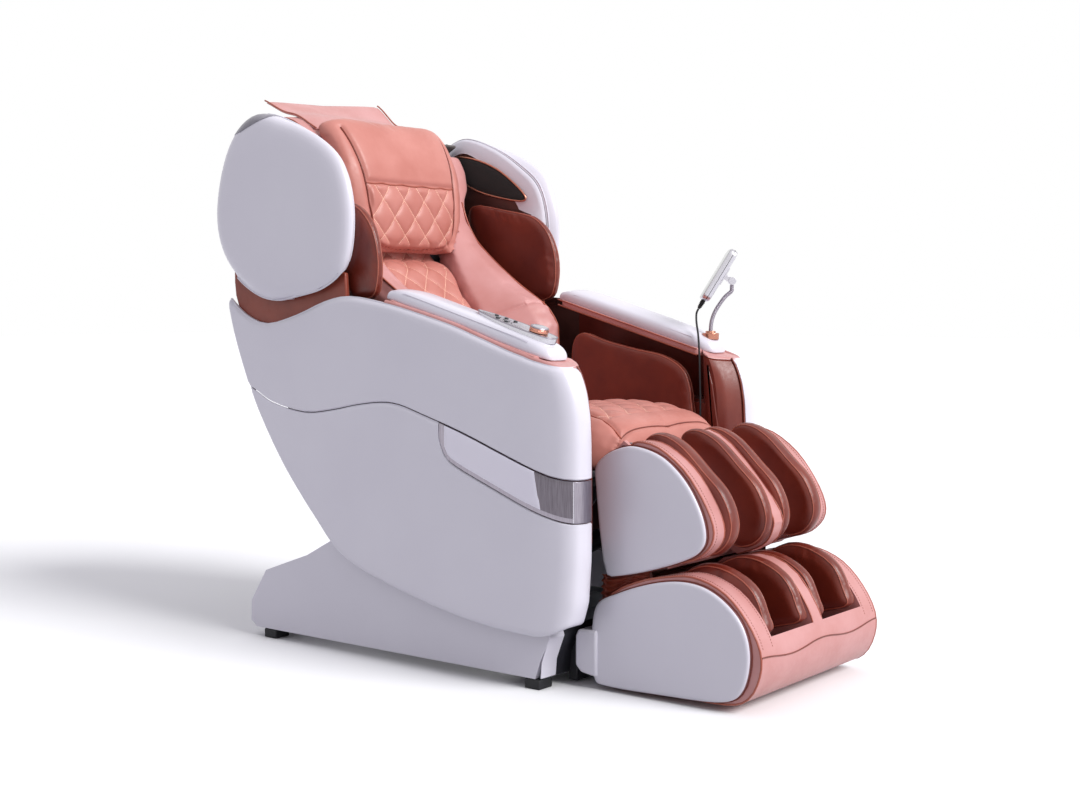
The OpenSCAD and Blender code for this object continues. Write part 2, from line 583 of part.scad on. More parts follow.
// How far the bolsters bulge to the front
bolster_rise = 8;
module bolster(s) chair() side(s) color(salmon) skin([for (b = bolster_levels)
    let (z = b[0], xi = b[1], yi = b[2], yo = b[3], yb = b[4],
         xo = shell_in - b[5])
    [[xo, yb, z], [xo + 2, mix(yo, yb, 0.5), z], [xo, yo + 12, z], [xo - 8, yo + 1, z],
     [mix(xi, xo, 0.75), mix(yi, yo, 0.82) - bolster_rise, z],
     [mix(xi, xo, 0.45), mix(yi, yo, 0.5) - bolster_rise, z],
     [mix(xi, xo, 0.18), mix(yi, yo, 0.16) - bolster_rise * 0.7, z], [xi + 1, yi + 4, z], [xi, yb, z]]]);
pillow_cols = concat([-1, -0.98, -0.9], [for (k = [-7:7]) k / 9], [0.9, 0.98, 1]);
pillow_line = open([[292, 915], [294, 925], [298, 960], [303, 1020], [310, 1080], [322, 1130], [345, 1180],
    [372, 1214], [378, 1222]], 3);
module pillow() chair() color(salmon)
    cushion(stations(pillow_line, [[0, 136], [0.1, 144.5], [0.25, 155.4], [0.55, 168], [0.8, 190], [1, 204]],
        [[0, 18], [0.05, 44], [0.14, 62], [0.4, 68], [0.6, 66], [0.8, 60], [0.95, 48], [1, 30]]), pillow_cols,
        function (i, j) i < 3 || i > 17 || j < 2 ? 0 : j == 13 ? 8 : j < 13 ? quilt(i, j, 10, 4, 5) : 0);
flap_line = open([[373.5, 1225.4], [400, 1248], [450, 1262], [505, 1276], [556, 1296]], 3);
module pillow_flap() chair() color(salmon)
    cushion(stations(flap_line, [[0, 200], [0.5, 196], [1, 200]], [[0, 12], [0.1, 12], [0.9, 11], [1, 8]]),
        concat([-1, -0.97], [for (k = [-3:3]) k / 4], [0.97, 1]), function (i, j) 0);
module dome(out, in, x0) {
    // rings that round over from the rim to the broad outer face
    steps = [[x0, 0], [shell_x - 16, 0], [shell_x - 8, 4], [shell_x - 3, 12], [shell_x - 0.8, 30],
        [shell_x, 78]];
    skin([for (q = steps) ring(drawn_in(shell_side, q[1] + in), q[0] - (q[0] > x0 ? out : 0))]);
}
module head_shell(s) chair() side(s) color(pearl) difference() {
    dome(0, 0, shell_in);
    dome(shell_t, shell_t, shell_in - 1);
    // room for the side panel that the shell sweeps past
    intersection() {
        bar(hip, 564, shell_in - 2, x_out + 4);
        block([0, 112, 500], [500, 700, 1300]);
    }
}
module shell_liners() chair() color("#b9a6a4") both() {
    plate(drawn_in(shell_side, shell_t / 2), shell_in - 18, shell_in);
    plate(closed([[396, 1186], [328, 1180], [252, 1150], [190, 1109], [156, 1076], [170, 1066], [240, 1078],
        [335, 1106], [388, 1146]], 2), shell_in - 23, shell_in - 18);
}
module shoulder_pads() chair() color(maroon) both()
    puff(shoulder_side, shell_in - 58, shell_in - 18 - clear, 12);
module side_fairings() chair() color(tan_band) both() plate(fairing_side, shell_in + clear, x_in - 5);
module rear_cover() chair() color("#55504f") plate(concat(
    open([[398, 1222], [458, 1180], [500, 1105], [513, 1010], [503, 930], [480, 860], [455, 770],
        [420, 690], [372, 600], [322, 520], [280, 462]], 3),
    reversed(open([[388, 1216], [450, 1174], [492, 1102], [505, 1010], [495, 932], [472, 862], [447, 773],
        [412, 693], [365, 604], [315, 524], [273, 466]], 3))),
    18.5 - shell_in, shell_in - 18.5);
carriage_at = rail_mid - 90 * rail_dir;
roller_at = carriage_at + 36 * [-rail_dir[1], rail_dir[0]];
module massage_carriage() chair() color(black) difference() {
    translate([0, carriage_at[0], carriage_at[1]]) rotate([-38, 0, 0]) {
        block([-98, -14, -45], [98, 14, 45]);
        both() block([60, -46, -10], [70, 0, 10]);
    }
    both() translate([rail_x, 0, 0]) ram(carriage_at - 60 * rail_dir, carriage_at + 60 * rail_dir, 8 + run);
    bar(roller_at, 6 + run, -100, 100);
}
module massage_rollers() chair() color("#8d8a80") {
    bar(roller_at, 6, -78, 78);
    both() bar(roller_at, 21, 28, 54);
}

// ================= calf rest =================
module calf_shell() chair() color(salmon) difference() {
    union() {
        both() plate(concat(calf_rim, calf_floor), pad_out + 2, calf_wall);
        plate(concat(calf_floor, reversed(moved(calf_floor, 10, -7))), -calf_wall, calf_wall);
        plate(divider_side, -divider_w / 2, divider_w / 2);
        // ears that carry the knee pins
        both() plate([[-543, 470], [-543, 506], [-556, 519], [-585, 500], [-640, 440], [-660, 380],
            [-600, 380]], 223, calf_wall);
    }
    bar(knee, knee_pin_r + run, -300, 300);
    // room for the knee arms
    bar(knee, 26, -222.6, 222.6);
    both() block([209.5, -576, 400], [222.6, -480, 540]);
}
module calf_covers() chair() color(pearl) both() plate(calf_side, calf_x - cover_t, calf_x);
module calf_pads() chair() color(maroon) both() {
    puff(calf_pad_side, pad_out - pad_t, pad_out + 1.5, 10, [0, 0.15, 0.5, 0.85, 1]);
    puff(calf_pad_side, divider_w / 2 + clear, divider_w / 2 + 34, 10, [0, 0.15, 0.5, 0.85, 1]);
}
slide_dir = [-sin(slide_angle), -cos(slide_angle)];
rod_at = [-598, 250];
rod_x = 206;
module calf_back() chair() color(black) difference() {
    union() {
        plate([[-508, 392], [-524, 238], [-584, 251], [-654, 271], [-663.9, 266.5], [-584, 244],
            [-516, 230], [-500, 392]], -calf_wall, calf_wall);
        both() translate([rod_x, 0, 0]) ram(rod_at - 8 * slide_dir, rod_at - 88 * slide_dir, 13);
    }
    both() translate([rod_x, 0, 0]) ram(rod_at + 60 * slide_dir, rod_at - 160 * slide_dir, rod_r + run);
}

// ================= foot rest =================
module foot_shell() chair() color(salmon) difference() {
    union() {
        plate(foot_rim, -rest_wall, rest_wall);
        plate(foot_divider, -divider_w / 2, divider_w / 2);
        both() translate([rod_x, 0, 0]) ram(rod_at + 60 * slide_dir, rod_at - 130 * slide_dir, rod_r);
    }
    both() plate(foot_well, divider_w / 2, pad_out + 2);
}
module foot_covers() chair() color(pearl) both() plate(foot_side, rest_x - cover_t, rest_x);
module foot_pads() chair() color(maroon) both() {
    puff(foot_pad_side, pad_out - 36, pad_out + 1.5, 9, [0, 0.15, 0.5, 0.85, 1]);
    puff(foot_pad_side, divider_w / 2 + clear, divider_w / 2 + 34, 9, [0, 0.15, 0.5, 0.85, 1]);
}
// The folded skirt that fills the gap between the calf rest and the foot rest
module bellows() chair() color(tan_band)
    plate([[-526, 231.4], [-584, 243.3], [-640, 259.1], [-640, 250], [-590, 233.5], [-549, 214.5],
        [-530, 202]],
        -pad_out - 2, pad_out + 2);

base_frame();
base_skirt();
base_front_cover();
feet();
power_box();
power_switch();
slide_carriage();
seat_frame();
side_upper(1);  // side_upper_left
side_upper(-1);  // side_upper_right
side_lower(1);  // side_lower_left
side_lower(-1);  // side_lower_right
side_bands();
arm_bands();
arm_pad(1);  // arm_pad_left
arm_pad(-1);  // arm_pad_right
arm_inners();
hip_pads();
control_island();
knob();
button(0);  // button_1
button(1);  // button_2
button(2);  // button_3
button(3);  // button_4
button(4);  // button_5
seat_cushion();
air_pump();
lower_rear_cover();
actuator_barrels();
recline_rod();
leg_rod();
remote_escutcheon();
gooseneck();
remote_cradle();
remote_handset();
cable_relief();
remote_cable();
cable_gland();
back_frame();
back_pad();
bolster(1);  // bolster_left
bolster(-1);  // bolster_right
pillow();
pillow_flap();
head_shell(1);  // head_shell_left
head_shell(-1);  // head_shell_right
shell_liners();
shoulder_pads();
side_fairings();
rear_cover();
massage_carriage();
massage_rollers();
calf_shell();
calf_covers();
calf_pads();
calf_back();
foot_shell();
foot_covers();
foot_pads();
bellows();
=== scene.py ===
# Massage chair with a control island on its right armrest and a handset on its left one.
# Lengths are millimetres from the middle of the four feet, as in the part's source, until at() turns
# them into metres of the model's own frame.  s is 1 on the chair's left side and -1 on its right.
import json
import math
import bpy
import bmesh
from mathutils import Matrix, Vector
from mathutils.bvhtree import BVHTree

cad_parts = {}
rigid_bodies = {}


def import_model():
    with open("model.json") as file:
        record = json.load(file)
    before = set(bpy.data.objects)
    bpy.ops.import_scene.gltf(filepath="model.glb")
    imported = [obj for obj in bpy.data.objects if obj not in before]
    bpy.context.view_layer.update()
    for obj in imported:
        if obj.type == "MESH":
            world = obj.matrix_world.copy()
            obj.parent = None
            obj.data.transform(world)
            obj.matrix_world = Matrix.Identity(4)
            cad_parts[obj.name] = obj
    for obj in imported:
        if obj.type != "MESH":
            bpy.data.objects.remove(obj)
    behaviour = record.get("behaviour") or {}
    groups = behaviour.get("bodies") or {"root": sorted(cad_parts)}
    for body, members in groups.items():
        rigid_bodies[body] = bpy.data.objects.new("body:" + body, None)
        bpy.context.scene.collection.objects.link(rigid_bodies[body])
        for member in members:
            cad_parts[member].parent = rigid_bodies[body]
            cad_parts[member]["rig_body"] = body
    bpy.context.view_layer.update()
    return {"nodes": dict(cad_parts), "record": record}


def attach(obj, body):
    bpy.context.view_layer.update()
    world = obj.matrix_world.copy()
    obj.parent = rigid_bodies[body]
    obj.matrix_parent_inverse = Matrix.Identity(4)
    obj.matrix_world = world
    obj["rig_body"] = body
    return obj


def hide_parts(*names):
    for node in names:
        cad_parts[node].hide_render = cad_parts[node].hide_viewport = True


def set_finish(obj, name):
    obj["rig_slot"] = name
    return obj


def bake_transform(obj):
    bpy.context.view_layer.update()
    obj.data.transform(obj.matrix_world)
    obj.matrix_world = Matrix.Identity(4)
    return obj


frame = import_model()

MM = 0.001
MOUNTS = frame["record"]["mounts"]
MID = sum(m["pos_m"][1] for m in MOUNTS) / len(MOUNTS)
SLOTS = {part["node"]: part["material_slot"] for part in frame["record"]["subparts"]}
SIDES = ((1, "left"), (-1, "right"))


# ---- points and curves ----
def at(x, y, z):
    return Vector((x * MM, y * MM + MID, z * MM))


def chair_yz(point):
    """A point of the model's frame as side-view millimetres."""
    return (point.y - MID) / MM, point.z / MM


def mix(a, b, t):
    return a + (b - a) * t


def bend(a, b, c, d, t):
    """A point of the smooth curve through a, b, c and d, between b and c."""
    return tuple(0.5 * (2 * q + (r - p) * t + (2 * p - 5 * q + 4 * r - s) * t * t
                        + (3 * q - p - 3 * r + s) * t ** 3) for p, q, r, s in zip(a, b, c, d))


def closed(p, n=3):
    """The smooth closed curve through p, with n points for each of its points."""
    k = len(p)
    return [bend(p[i - 1], p[i], p[(i + 1) % k], p[(i + 2) % k], j / n) for i in range(k) for j in range(n)]


def opened(p, n=3):
    """The smooth open curve through p, with n points for each of its points."""
    k = len(p)
    curve = [bend(p[max(i - 1, 0)], p[i], p[i + 1], p[min(i + 2, k - 1)], j / n)
             for i in range(k - 1) for j in range(n)]
    return curve + [tuple(p[-1])]


def lookup(x, table):
    """The value at x in a table of (x, value) pairs, straight between them."""
    if x <= table[0][0]:
        return table[0][1]
    for (x0, v0), (x1, v1) in zip(table, table[1:]):
        if x <= x1:
            return mix(v0, v1, (x - x0) / (x1 - x0))
    return table[-1][1]


def height_on(curve, y):
    """The z of a side-view curve at y."""
    for (y0, z0), (y1, z1) in zip(curve, curve[1:]):
        if y0 != y1 and min(y0, y1) <= y <= max(y0, y1):
            return mix(z0, z1, (y - y0) / (y1 - y0))
    return min(curve, key=lambda p: abs(p[0] - y))[1]


def soft_step(x, low, high):
    t = max(0.0, min(1.0, (x - low) / (high - low)))
    return t * t * (3 - 2 * t)


def mean(p):
    return tuple(sum(q[k] for q in p) / len(p) for k in (0, 1))


def drawn_in(p, d):
    """The outline p drawn in by d towards its middle."""
    c = mean(p)
    out = []
    for q in p:
        reach = math.dist(q, c)
        out.append(tuple(q[k] + min(d, 0.98 * reach) * (c[k] - q[k]) / reach for k in (0, 1)))
    return out


def pulled(q, middle, d):
    """The side-view point q pulled towards middle by d."""
    share = d / math.dist(q, middle)
    return tuple(q[k] + share * (middle[k] - q[k]) for k in (0, 1))


def spaced(p, n, loop=False):
    """The polyline p cut into n equal lengths."""
    p = list(p) + ([p[0]] if loop else [])
    run = [0.0]
    for a, b in zip(p, p[1:]):
        run.append(run[-1] + math.dist(a, b))
    out = []
    k = 0
    for i in range(n if loop else n + 1):
        want = run[-1] * i / n
        while k < len(p) - 2 and run[k + 1] < want:
            k += 1
        t = (want - run[k]) / max(run[k + 1] - run[k], 1e-9)
        out.append(tuple(mix(u, v, t) for u, v in zip(p[k], p[k + 1])))
    return out


# ---- camera ----
CAMERA_AT = (-2.8232, -2.1986, 0.8013)
CAMERA_TURN = (90 - 3.789, 0, -51.933)
camera = bpy.data.objects.new("camera", bpy.data.cameras.new("camera"))
camera.location = CAMERA_AT
camera.rotation_euler = [math.radians(a) for a in CAMERA_TURN]
camera.data.lens = 51.55
camera.data.sensor_width = 36
bpy.context.scene.collection.objects.link(camera)
bpy.context.scene.camera = camera


# ---- materials ----
def colour(code):
    """An sRGB hex colour as linear light."""
    parts = [int(code[k:k + 2], 16) / 255 for k in (1, 3, 5)]
    return tuple(c / 12.92 if c <= 0.04045 else ((c + 0.055) / 1.055) ** 2.4 for c in parts) + (1.0,)


def node(tree, kind, inputs=None, **settings):
    """A new shader node with its settings made and its inputs set or linked."""
    made = tree.nodes.new("ShaderNode" + kind)
    for key, value in settings.items():
        setattr(made, key, value)
    for key, value in (inputs or {}).items():
        if isinstance(value, bpy.types.NodeSocket):
            tree.links.new(value, made.inputs[key])
        else:
            made.inputs[key].default_value = value
    return made


def new_material(name, **shader):
    """A material with its Principled shader's own values set, and its tree and shader."""
    made = bpy.data.materials.new(name)
    made.use_nodes = True
    tree = made.node_tree
    principled = tree.nodes["Principled BSDF"]
    for key, value in shader.items():
        principled.inputs[key.replace("_", " ")].default_value = value
    return made, tree, principled


def object_place(tree, scale=(1, 1, 1), turn=(0, 0, 0)):
    """Object coordinates in millimetres, stretched and turned."""
    where = node(tree, "TexCoord")
    size = tuple(s / MM for s in scale)
    return node(tree, "Mapping", {"Vector": where.outputs["Object"], "Scale": size, "Rotation": turn}).outputs[0]


def noise_at(tree, place, size, detail=3.0):
    """Noise with grains of that many millimetres."""
    return node(tree, "TexNoise", {"Vector": place, "Scale": 1 / size, "Detail": detail}).outputs["Fac"]


def mix_colours(tree, factor, low, high):
    """A mix of two hex colours or colour sockets."""
    blend = node(tree, "Mix", data_type="RGBA")
    tree.links.new(factor, blend.inputs[0])
    for socket, value in ((6, low), (7, high)):
        if isinstance(value, bpy.types.NodeSocket):
            tree.links.new(value, blend.inputs[socket])
        else:
            blend.inputs[socket].default_value = colour(value)
    return blend.outputs[2]


def spread(tree, value, low, high, from_low=0.3, from_high=0.7):
    """A noise's value, which stays near its middle, spread over low to high."""
    made = node(tree, "MapRange", {"Value": value, "From Min": from_low, "From Max": from_high,
                                   "To Min": low, "To Max": high})
    return made.outputs["Result"]


def maths(tree, operation, *values):
    made = node(tree, "Math", operation=operation)
    for k, value in enumerate(values):
        if isinstance(value, bpy.types.NodeSocket):
            tree.links.new(value, made.inputs[k])
        else:
            made.inputs[k].default_value = value
    return made.outputs[0]


def bump(tree, principled, height, depth, strength):
    """Relief of that depth in millimetres."""
    made = node(tree, "Bump", {"Height": height, "Distance": depth * MM, "Strength": strength})
    tree.links.new(made.outputs["Normal"], principled.inputs["Normal"])


# sizes of the patterns: drift and flow marks of lacquer, pores, folds and clouds of leather
PEARL_CLOUD, PEARL_FLOW = 220, 1.6
GRAIN, WRINKLE, SHADE_CLOUD = 1.7, 9, 90
# stitches to a diamond, the gap's share of a stitch, and half a thread's share of a diamond
STITCHES, STITCH_GAP, THREAD_HALF = 13, 0.34, 0.017
# brush lines of metal, clouds of plastic, and the width of a wave texture's bands at a scale of 1
BRUSH_LINE, SPARK_CLOUD, WAVE_BAND = 1.2, 60, 0.31


def pearl_material(name, low, high):
    """Pearl lacquer: a slow drift of colour and fine upright flow marks, drawn coarser than real to show."""
    made, tree, principled = new_material(name, Coat_Weight=0.4, Coat_Roughness=0.16)
    clouds = noise_at(tree, object_place(tree), PEARL_CLOUD, 2.0)
    tree.links.new(mix_colours(tree, clouds, low, high), principled.inputs["Base Color"])
    fine = noise_at(tree, object_place(tree, (1, 1, 0.07)), PEARL_FLOW, 2.0)
    tree.links.new(spread(tree, fine, 0.32, 0.44), principled.inputs["Roughness"])
    bump(tree, principled, fine, 0.12, 0.35)
    return made


def quilt_thread(tree):
    """1 on the stitches along both sets of the diamonds' lines, 0 between them."""
    lines = node(tree, "Attribute", attribute_name="quilt").outputs["Vector"]
    split = node(tree, "SeparateXYZ", {"Vector": lines})
    sewn = []
    for one, other in (("X", "Y"), ("Y", "X")):
        off = maths(tree, "PINGPONG", split.outputs[one], 0.5)
        on_line = maths(tree, "LESS_THAN", off, THREAD_HALF)
        run = maths(tree, "FRACT", maths(tree, "MULTIPLY", split.outputs[other], STITCHES))
        sewn.append(maths(tree, "MULTIPLY", on_line, maths(tree, "GREATER_THAN", run, STITCH_GAP)))
    return maths(tree, "MULTIPLY", maths(tree, "MAXIMUM", *sewn), split.outputs["Z"])


def leather_material(name, low, high, stitched=False, rough=0.42):
    """Synthetic leather: pores drawn at twice their real width to show, soft folds and colour clouds,
    and stitched lines on quilted pads."""
    made, tree, principled = new_material(name, Sheen_Weight=0.08, Sheen_Roughness=0.4)
    place = object_place(tree)
    cells = node(tree, "TexVoronoi", {"Vector": place, "Scale": 1 / GRAIN}).outputs["Distance"]
    folds = noise_at(tree, place, WRINKLE, 4.0)
    grain = maths(tree, "ADD", maths(tree, "MULTIPLY", cells, 0.6), folds)
    clouds = noise_at(tree, place, SHADE_CLOUD)
    shade = mix_colours(tree, spread(tree, clouds, 0, 1), low, high)
    if stitched:
        shade = mix_colours(tree, quilt_thread(tree), shade, "#f0bfa6")
    tree.links.new(shade, principled.inputs["Base Color"])
    tree.links.new(spread(tree, folds, rough - 0.05, rough + 0.09), principled.inputs["Roughness"])
    bump(tree, principled, grain, 0.25, 0.6)
    return made


def metal_material(name, low, high, rough, streak=(1, 1, 1)):
    """Bare metal, brushed along the axis whose streak is short, its lines drawn coarser than real to show."""
    made, tree, principled = new_material(name, Metallic=1.0)
    fine = noise_at(tree, object_place(tree, streak), BRUSH_LINE)
    tree.links.new(mix_colours(tree, spread(tree, fine, 0, 1), low, high), principled.inputs["Base Color"])
    tree.links.new(spread(tree, fine, rough - 0.05, rough + 0.08), principled.inputs["Roughness"])
    bump(tree, principled, fine, 0.05, 0.4)
    return made


def plastic_material(name, low, high, rough, grain=0.8, depth=0.08):
    """Moulded plastic or rubber with a fine spark texture."""
    made, tree, principled = new_material(name)
    place = object_place(tree)
    fine = noise_at(tree, place, grain, 2.0)
    clouds = noise_at(tree, place, SPARK_CLOUD)
    tree.links.new(mix_colours(tree, spread(tree, clouds, 0, 1), low, high), principled.inputs["Base Color"])
    tree.links.new(spread(tree, clouds, rough - 0.05, rough + 0.07), principled.inputs["Roughness"])
    bump(tree, principled, fine, depth, 0.5)
    return made


def fabric_material(name, low, high, pitch):
    """Plain weave with threads that many millimetres apart, coarser than real ones to show."""
    made, tree, principled = new_material(name, Sheen_Weight=0.2, Roughness=0.85)
    threads = [node(tree, "TexWave", {"Vector": object_place(tree, turn=turn), "Scale": WAVE_BAND / pitch,
                                      "Distortion": 0.6, "Detail": 1.0}).outputs["Fac"]
               for turn in ((0, 0, 0), (0, math.pi / 2, 0))]
    weave = maths(tree, "MULTIPLY", *threads)
    tree.links.new(mix_colours(tree, weave, low, high), principled.inputs["Base Color"])
    bump(tree, principled, weave, 0.3, 0.7)
    return made


def glass_material():
    """Polished glass over a dark screen, with a faint bluish drift behind it."""
    made, tree, principled = new_material("dark_screen_glass", Roughness=0.08, Coat_Weight=0.5)
    glow = noise_at(tree, object_place(tree), 70, 1.0)
    tree.links.new(mix_colours(tree, glow, "#0b0c12", "#1c2030"), principled.inputs["Base Color"])
    return made


# Moulded ABS under pearl lacquer and clear coat: a broad soft gloss with a faint lilac cast.
PEARL = pearl_material("pearl_lacquer", "#dbd7e3", "#e4e1eb")
PEARL_LIGHT = pearl_material("pale_pearl_lacquer", "#ebe6f6", "#f2eef9")
# Polyurethane leather, embossed and drawn over foam: a satin shine broken by its grain.
SALMON = leather_material("salmon_leather", "#c48681", "#d09795")
QUILTED = leather_material("quilted_salmon_leather", "#bc7266", "#ca8479", stitched=True)
MAROON = leather_material("maroon_leather", "#631d12", "#7a2c1b", rough=0.36)
TAN = leather_material("tan_leather", "#78301f", "#8c3d2b")
# The same leather rolled over cord: a little glossier where it is stretched.
PIPING = leather_material("piping_leather", "#9c4c3b", "#b0604c", rough=0.34)
DARK_PIPING = leather_material("dark_piping_leather", "#6a281b", "#823626", rough=0.34)
# Turned and anodised aluminium: warm, with small bright highlights.
COPPER = metal_material("anodised_copper_trim", "#b9745f", "#d39a86", 0.24)
# Metallised trim, upright brush lines on the band and plain satin elsewhere.
SILVER = metal_material("silver_trim", "#938c96", "#aaa4ae", 0.34, (1, 1, 0.04))
BRUSHED = metal_material("brushed_silver_face", "#625c63", "#7e7880", 0.3, (1, 1, 0.03))
SATIN = metal_material("satin_silver", "#c3c0c8", "#dcdae0", 0.28)
# Frame steel: powder-coated where it is welded, ground bright where it slides.
STEEL_PAINT = plastic_material("painted_steel", "#5b5e64", "#6f7278", 0.45, 1.5, 0.05)
BRIGHT = metal_material("ground_steel", "#8d8f94", "#b3b5ba", 0.25)
# Moulded ABS with a spark-eroded skin: even, a little dull.
BLACK = plastic_material("black_moulded_plastic", "#141419", "#1f1f26", 0.45)
GREY = plastic_material("grey_moulded_plastic", "#46494e", "#585b61", 0.5)
CAP_GREY = plastic_material("smoked_grey_plastic", "#8b8891", "#9a97a0", 0.3)
LINER = plastic_material("brown_liner_plastic", "#4a2c27", "#5c3831", 0.42)
RED = plastic_material("red_switch_plastic", "#8c1414", "#a01c1a", 0.35)
# Moulded rubber: matt, with a coarser skin.
RUBBER = plastic_material("rubber", "#101013", "#1b1b20", 0.7, 1.2, 0.12)
# Woven polyester, close on the back and open over the speakers.
FABRIC = fabric_material("woven_rear_fabric", "#4a4442", "#6a6260", 1.4)
GRILLE = fabric_material("woven_speaker_cloth", "#0c0a0b", "#241c1b", 1.6)
GLASS = glass_material()
# Bonded nylon sewing thread: a dull twist a shade darker than the leather.
THREAD = plastic_material("stitching_thread", "#8a4636", "#a05a48", 0.6, 0.5, 0.1)
BY_SLOT = {"pearl_shell": PEARL, "salmon_leather": SALMON, "maroon_leather": MAROON, "tan_leather": TAN,
           "copper_trim": COPPER, "silver_trim": SATIN, "steel_frame": STEEL_PAINT, "bright_steel": BRIGHT,
           "black_plastic": BLACK, "grey_plastic": GREY, "red_plastic": RED, "rubber_foot": RUBBER,
           "rear_fabric": FABRIC, "cable_jacket": RUBBER}


# ---- making pieces ----
def body_of(cad_node):
    return frame["nodes"][cad_node]["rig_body"]


def finish_piece(obj, material, cad_nodes, slot=None, hide=True):
    """Gives a piece its material, slot and body, and hides the CAD nodes it stands for if hide is set."""
    obj.data.materials.clear()
    obj.data.materials.append(material)
    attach(obj, body_of(cad_nodes[0]))
    if hide:
        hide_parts(*cad_nodes)
    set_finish(obj, slot or SLOTS[cad_nodes[0]])
    return obj


def mesh_object(name, bm, sharp=40):
    """A smooth-shaded object made from bm, its edges sharp past that angle."""
    mesh = bpy.data.meshes.new(name)
    bm.to_mesh(mesh)
    bm.free()
    mesh.polygons.foreach_set("use_smooth", [True] * len(mesh.polygons))
    mesh.set_sharp_from_angle(angle=math.radians(sharp))
    obj = bpy.data.objects.new(name, mesh)
    bpy.context.scene.collection.objects.link(obj)
    return obj


def piece(name, bm, material, *cad_nodes, slot=None, sharp=40, hide=True):
    """A finished piece made from bm."""
    return finish_piece(mesh_object(name, bm, sharp), material, cad_nodes, slot, hide)


def thicken(obj, thickness):
    made = obj.modifiers.new("wall", "SOLIDIFY")
    made.thickness = thickness * MM
    made.offset = -1
    made.use_even_offset = True


def round_edges(obj, width, segments=3, angle=35):
    made = obj.modifiers.new("rounding", "BEVEL")
    made.width = width * MM
    made.segments = segments
    made.limit_method = "ANGLE"
    made.angle_limit = math.radians(angle)


def subdivide(obj):
    made = obj.modifiers.new("smooth", "SUBSURF")
    made.levels = 1
    made.render_levels = 1


def mesh_of(obj):
    """What obj's curve or modifiers make, as a mesh."""
    bpy.context.view_layer.update()
    graph = bpy.context.evaluated_depsgraph_get()
    return bpy.data.meshes.new_from_object(obj.evaluated_get(graph))


def applied(obj):
    """Applies every modifier on obj."""
    mesh = mesh_of(obj)
    obj.modifiers.clear()
    obj.data = mesh


def grid(columns, rows, place):
    """A sheet of points, column i and row j put at place(i, j)."""
    bm = bmesh.new()
    bmesh.ops.create_grid(bm, x_segments=columns - 1, y_segments=rows - 1, size=1)
    for v in bm.verts:
        v.co = place(round((v.co.x + 1) / 2 * (columns - 1)), round((v.co.y + 1) / 2 * (rows - 1)))
    return bm


def facing(bm, direction):
    """Turns a sheet's faces to look along direction."""
    bmesh.ops.recalc_face_normals(bm, faces=bm.faces)
    bm.normal_update()
    if sum((f.normal.dot(Vector(direction)) * f.calc_area() for f in bm.faces), 0.0) < 0:
        bmesh.ops.reverse_faces(bm, faces=bm.faces)
    return bm


def loft(rings, capped=True):
    """A skin through rings of points, closed round each ring and, if capped, at both ends."""
    n = len(rings[0])
    bm = grid(n + 1, len(rings), lambda i, j: rings[j][i % n])
    bmesh.ops.remove_doubles(bm, verts=bm.verts, dist=1e-6)
    if capped:
        bmesh.ops.holes_fill(bm, edges=[e for e in bm.edges if e.is_boundary])
    bmesh.ops.recalc_face_normals(bm, faces=bm.faces)
    return bm


def plate(outline, x0, x1):
    """A slab with that side view from x0 to x1."""
    bm = bmesh.new()
    bm.faces.new([bm.verts.new(at(x0, y, z)) for y, z in outline])
    pushed = bmesh.ops.extrude_face_region(bm, geom=bm.faces[:])
    moved = [g for g in pushed["geom"] if isinstance(g, bmesh.types.BMVert)]
    bmesh.ops.translate(bm, verts=moved, vec=((x1 - x0) * MM, 0, 0))
    bmesh.ops.recalc_face_normals(bm, faces=bm.faces)
    return bm


def domed(outline, s, profile):
    """Rings of a domed cover: the outline, drawn in and set at x as the profile says."""
    return [[at(s * x, *q) for q in drawn_in(outline, inset)] for x, inset in profile]


def rounded_copy(cad_node, material=None, width=1.5, segments=2):
    """A rigid CAD node with its edges rounded."""
    bm = bmesh.new()
    bm.from_mesh(frame["nodes"][cad_node].data)
    bmesh.ops.remove_doubles(bm, verts=bm.verts, dist=2e-6)
    bmesh.ops.dissolve_limit(bm, angle_limit=math.radians(0.5), verts=bm.verts, edges=bm.edges)
    material = material or BY_SLOT[SLOTS[cad_node]]
    obj = piece(cad_node + "_rounded", bm, material, cad_node, sharp=28)
    round_edges(obj, width, segments, 28)
    return obj


def round_line(name, paths, radius, sides, loop=False):
    """A mesh of round lines along paths of points, closed at their ends or into loops."""
    curve = bpy.data.curves.new(name, "CURVE")
    curve.dimensions = "3D"
    curve.bevel_depth = radius * MM
    curve.bevel_resolution = sides
    curve.use_fill_caps = not loop
    for path in paths:
        spline = curve.splines.new("POLY")
        spline.points.add(len(path) - 1)
        spline.use_cyclic_u = loop
        for point, co in zip(spline.points, path):
            point.co = (*co, 1)
    drawn = bpy.data.objects.new(name, curve)
    bpy.context.scene.collection.objects.link(drawn)
    mesh = mesh_of(drawn)
    bpy.data.objects.remove(drawn)
    made = bpy.data.objects.new(name, mesh)
    bpy.context.scene.collection.objects.link(made)
    return made


def tubes(name, paths, radius, material, cad_node, loop=False, slot=None, sides=3):
    """Piping, wire or thread: a piece of round lines."""
    return finish_piece(round_line(name, paths, radius, sides, loop), material, [cad_node], slot, hide=False)


# ---- padded pieces ----
CLOTH_PRESSURE, CLOTH_FRAMES, PAD_FILL = 4.0, 20, 0.8


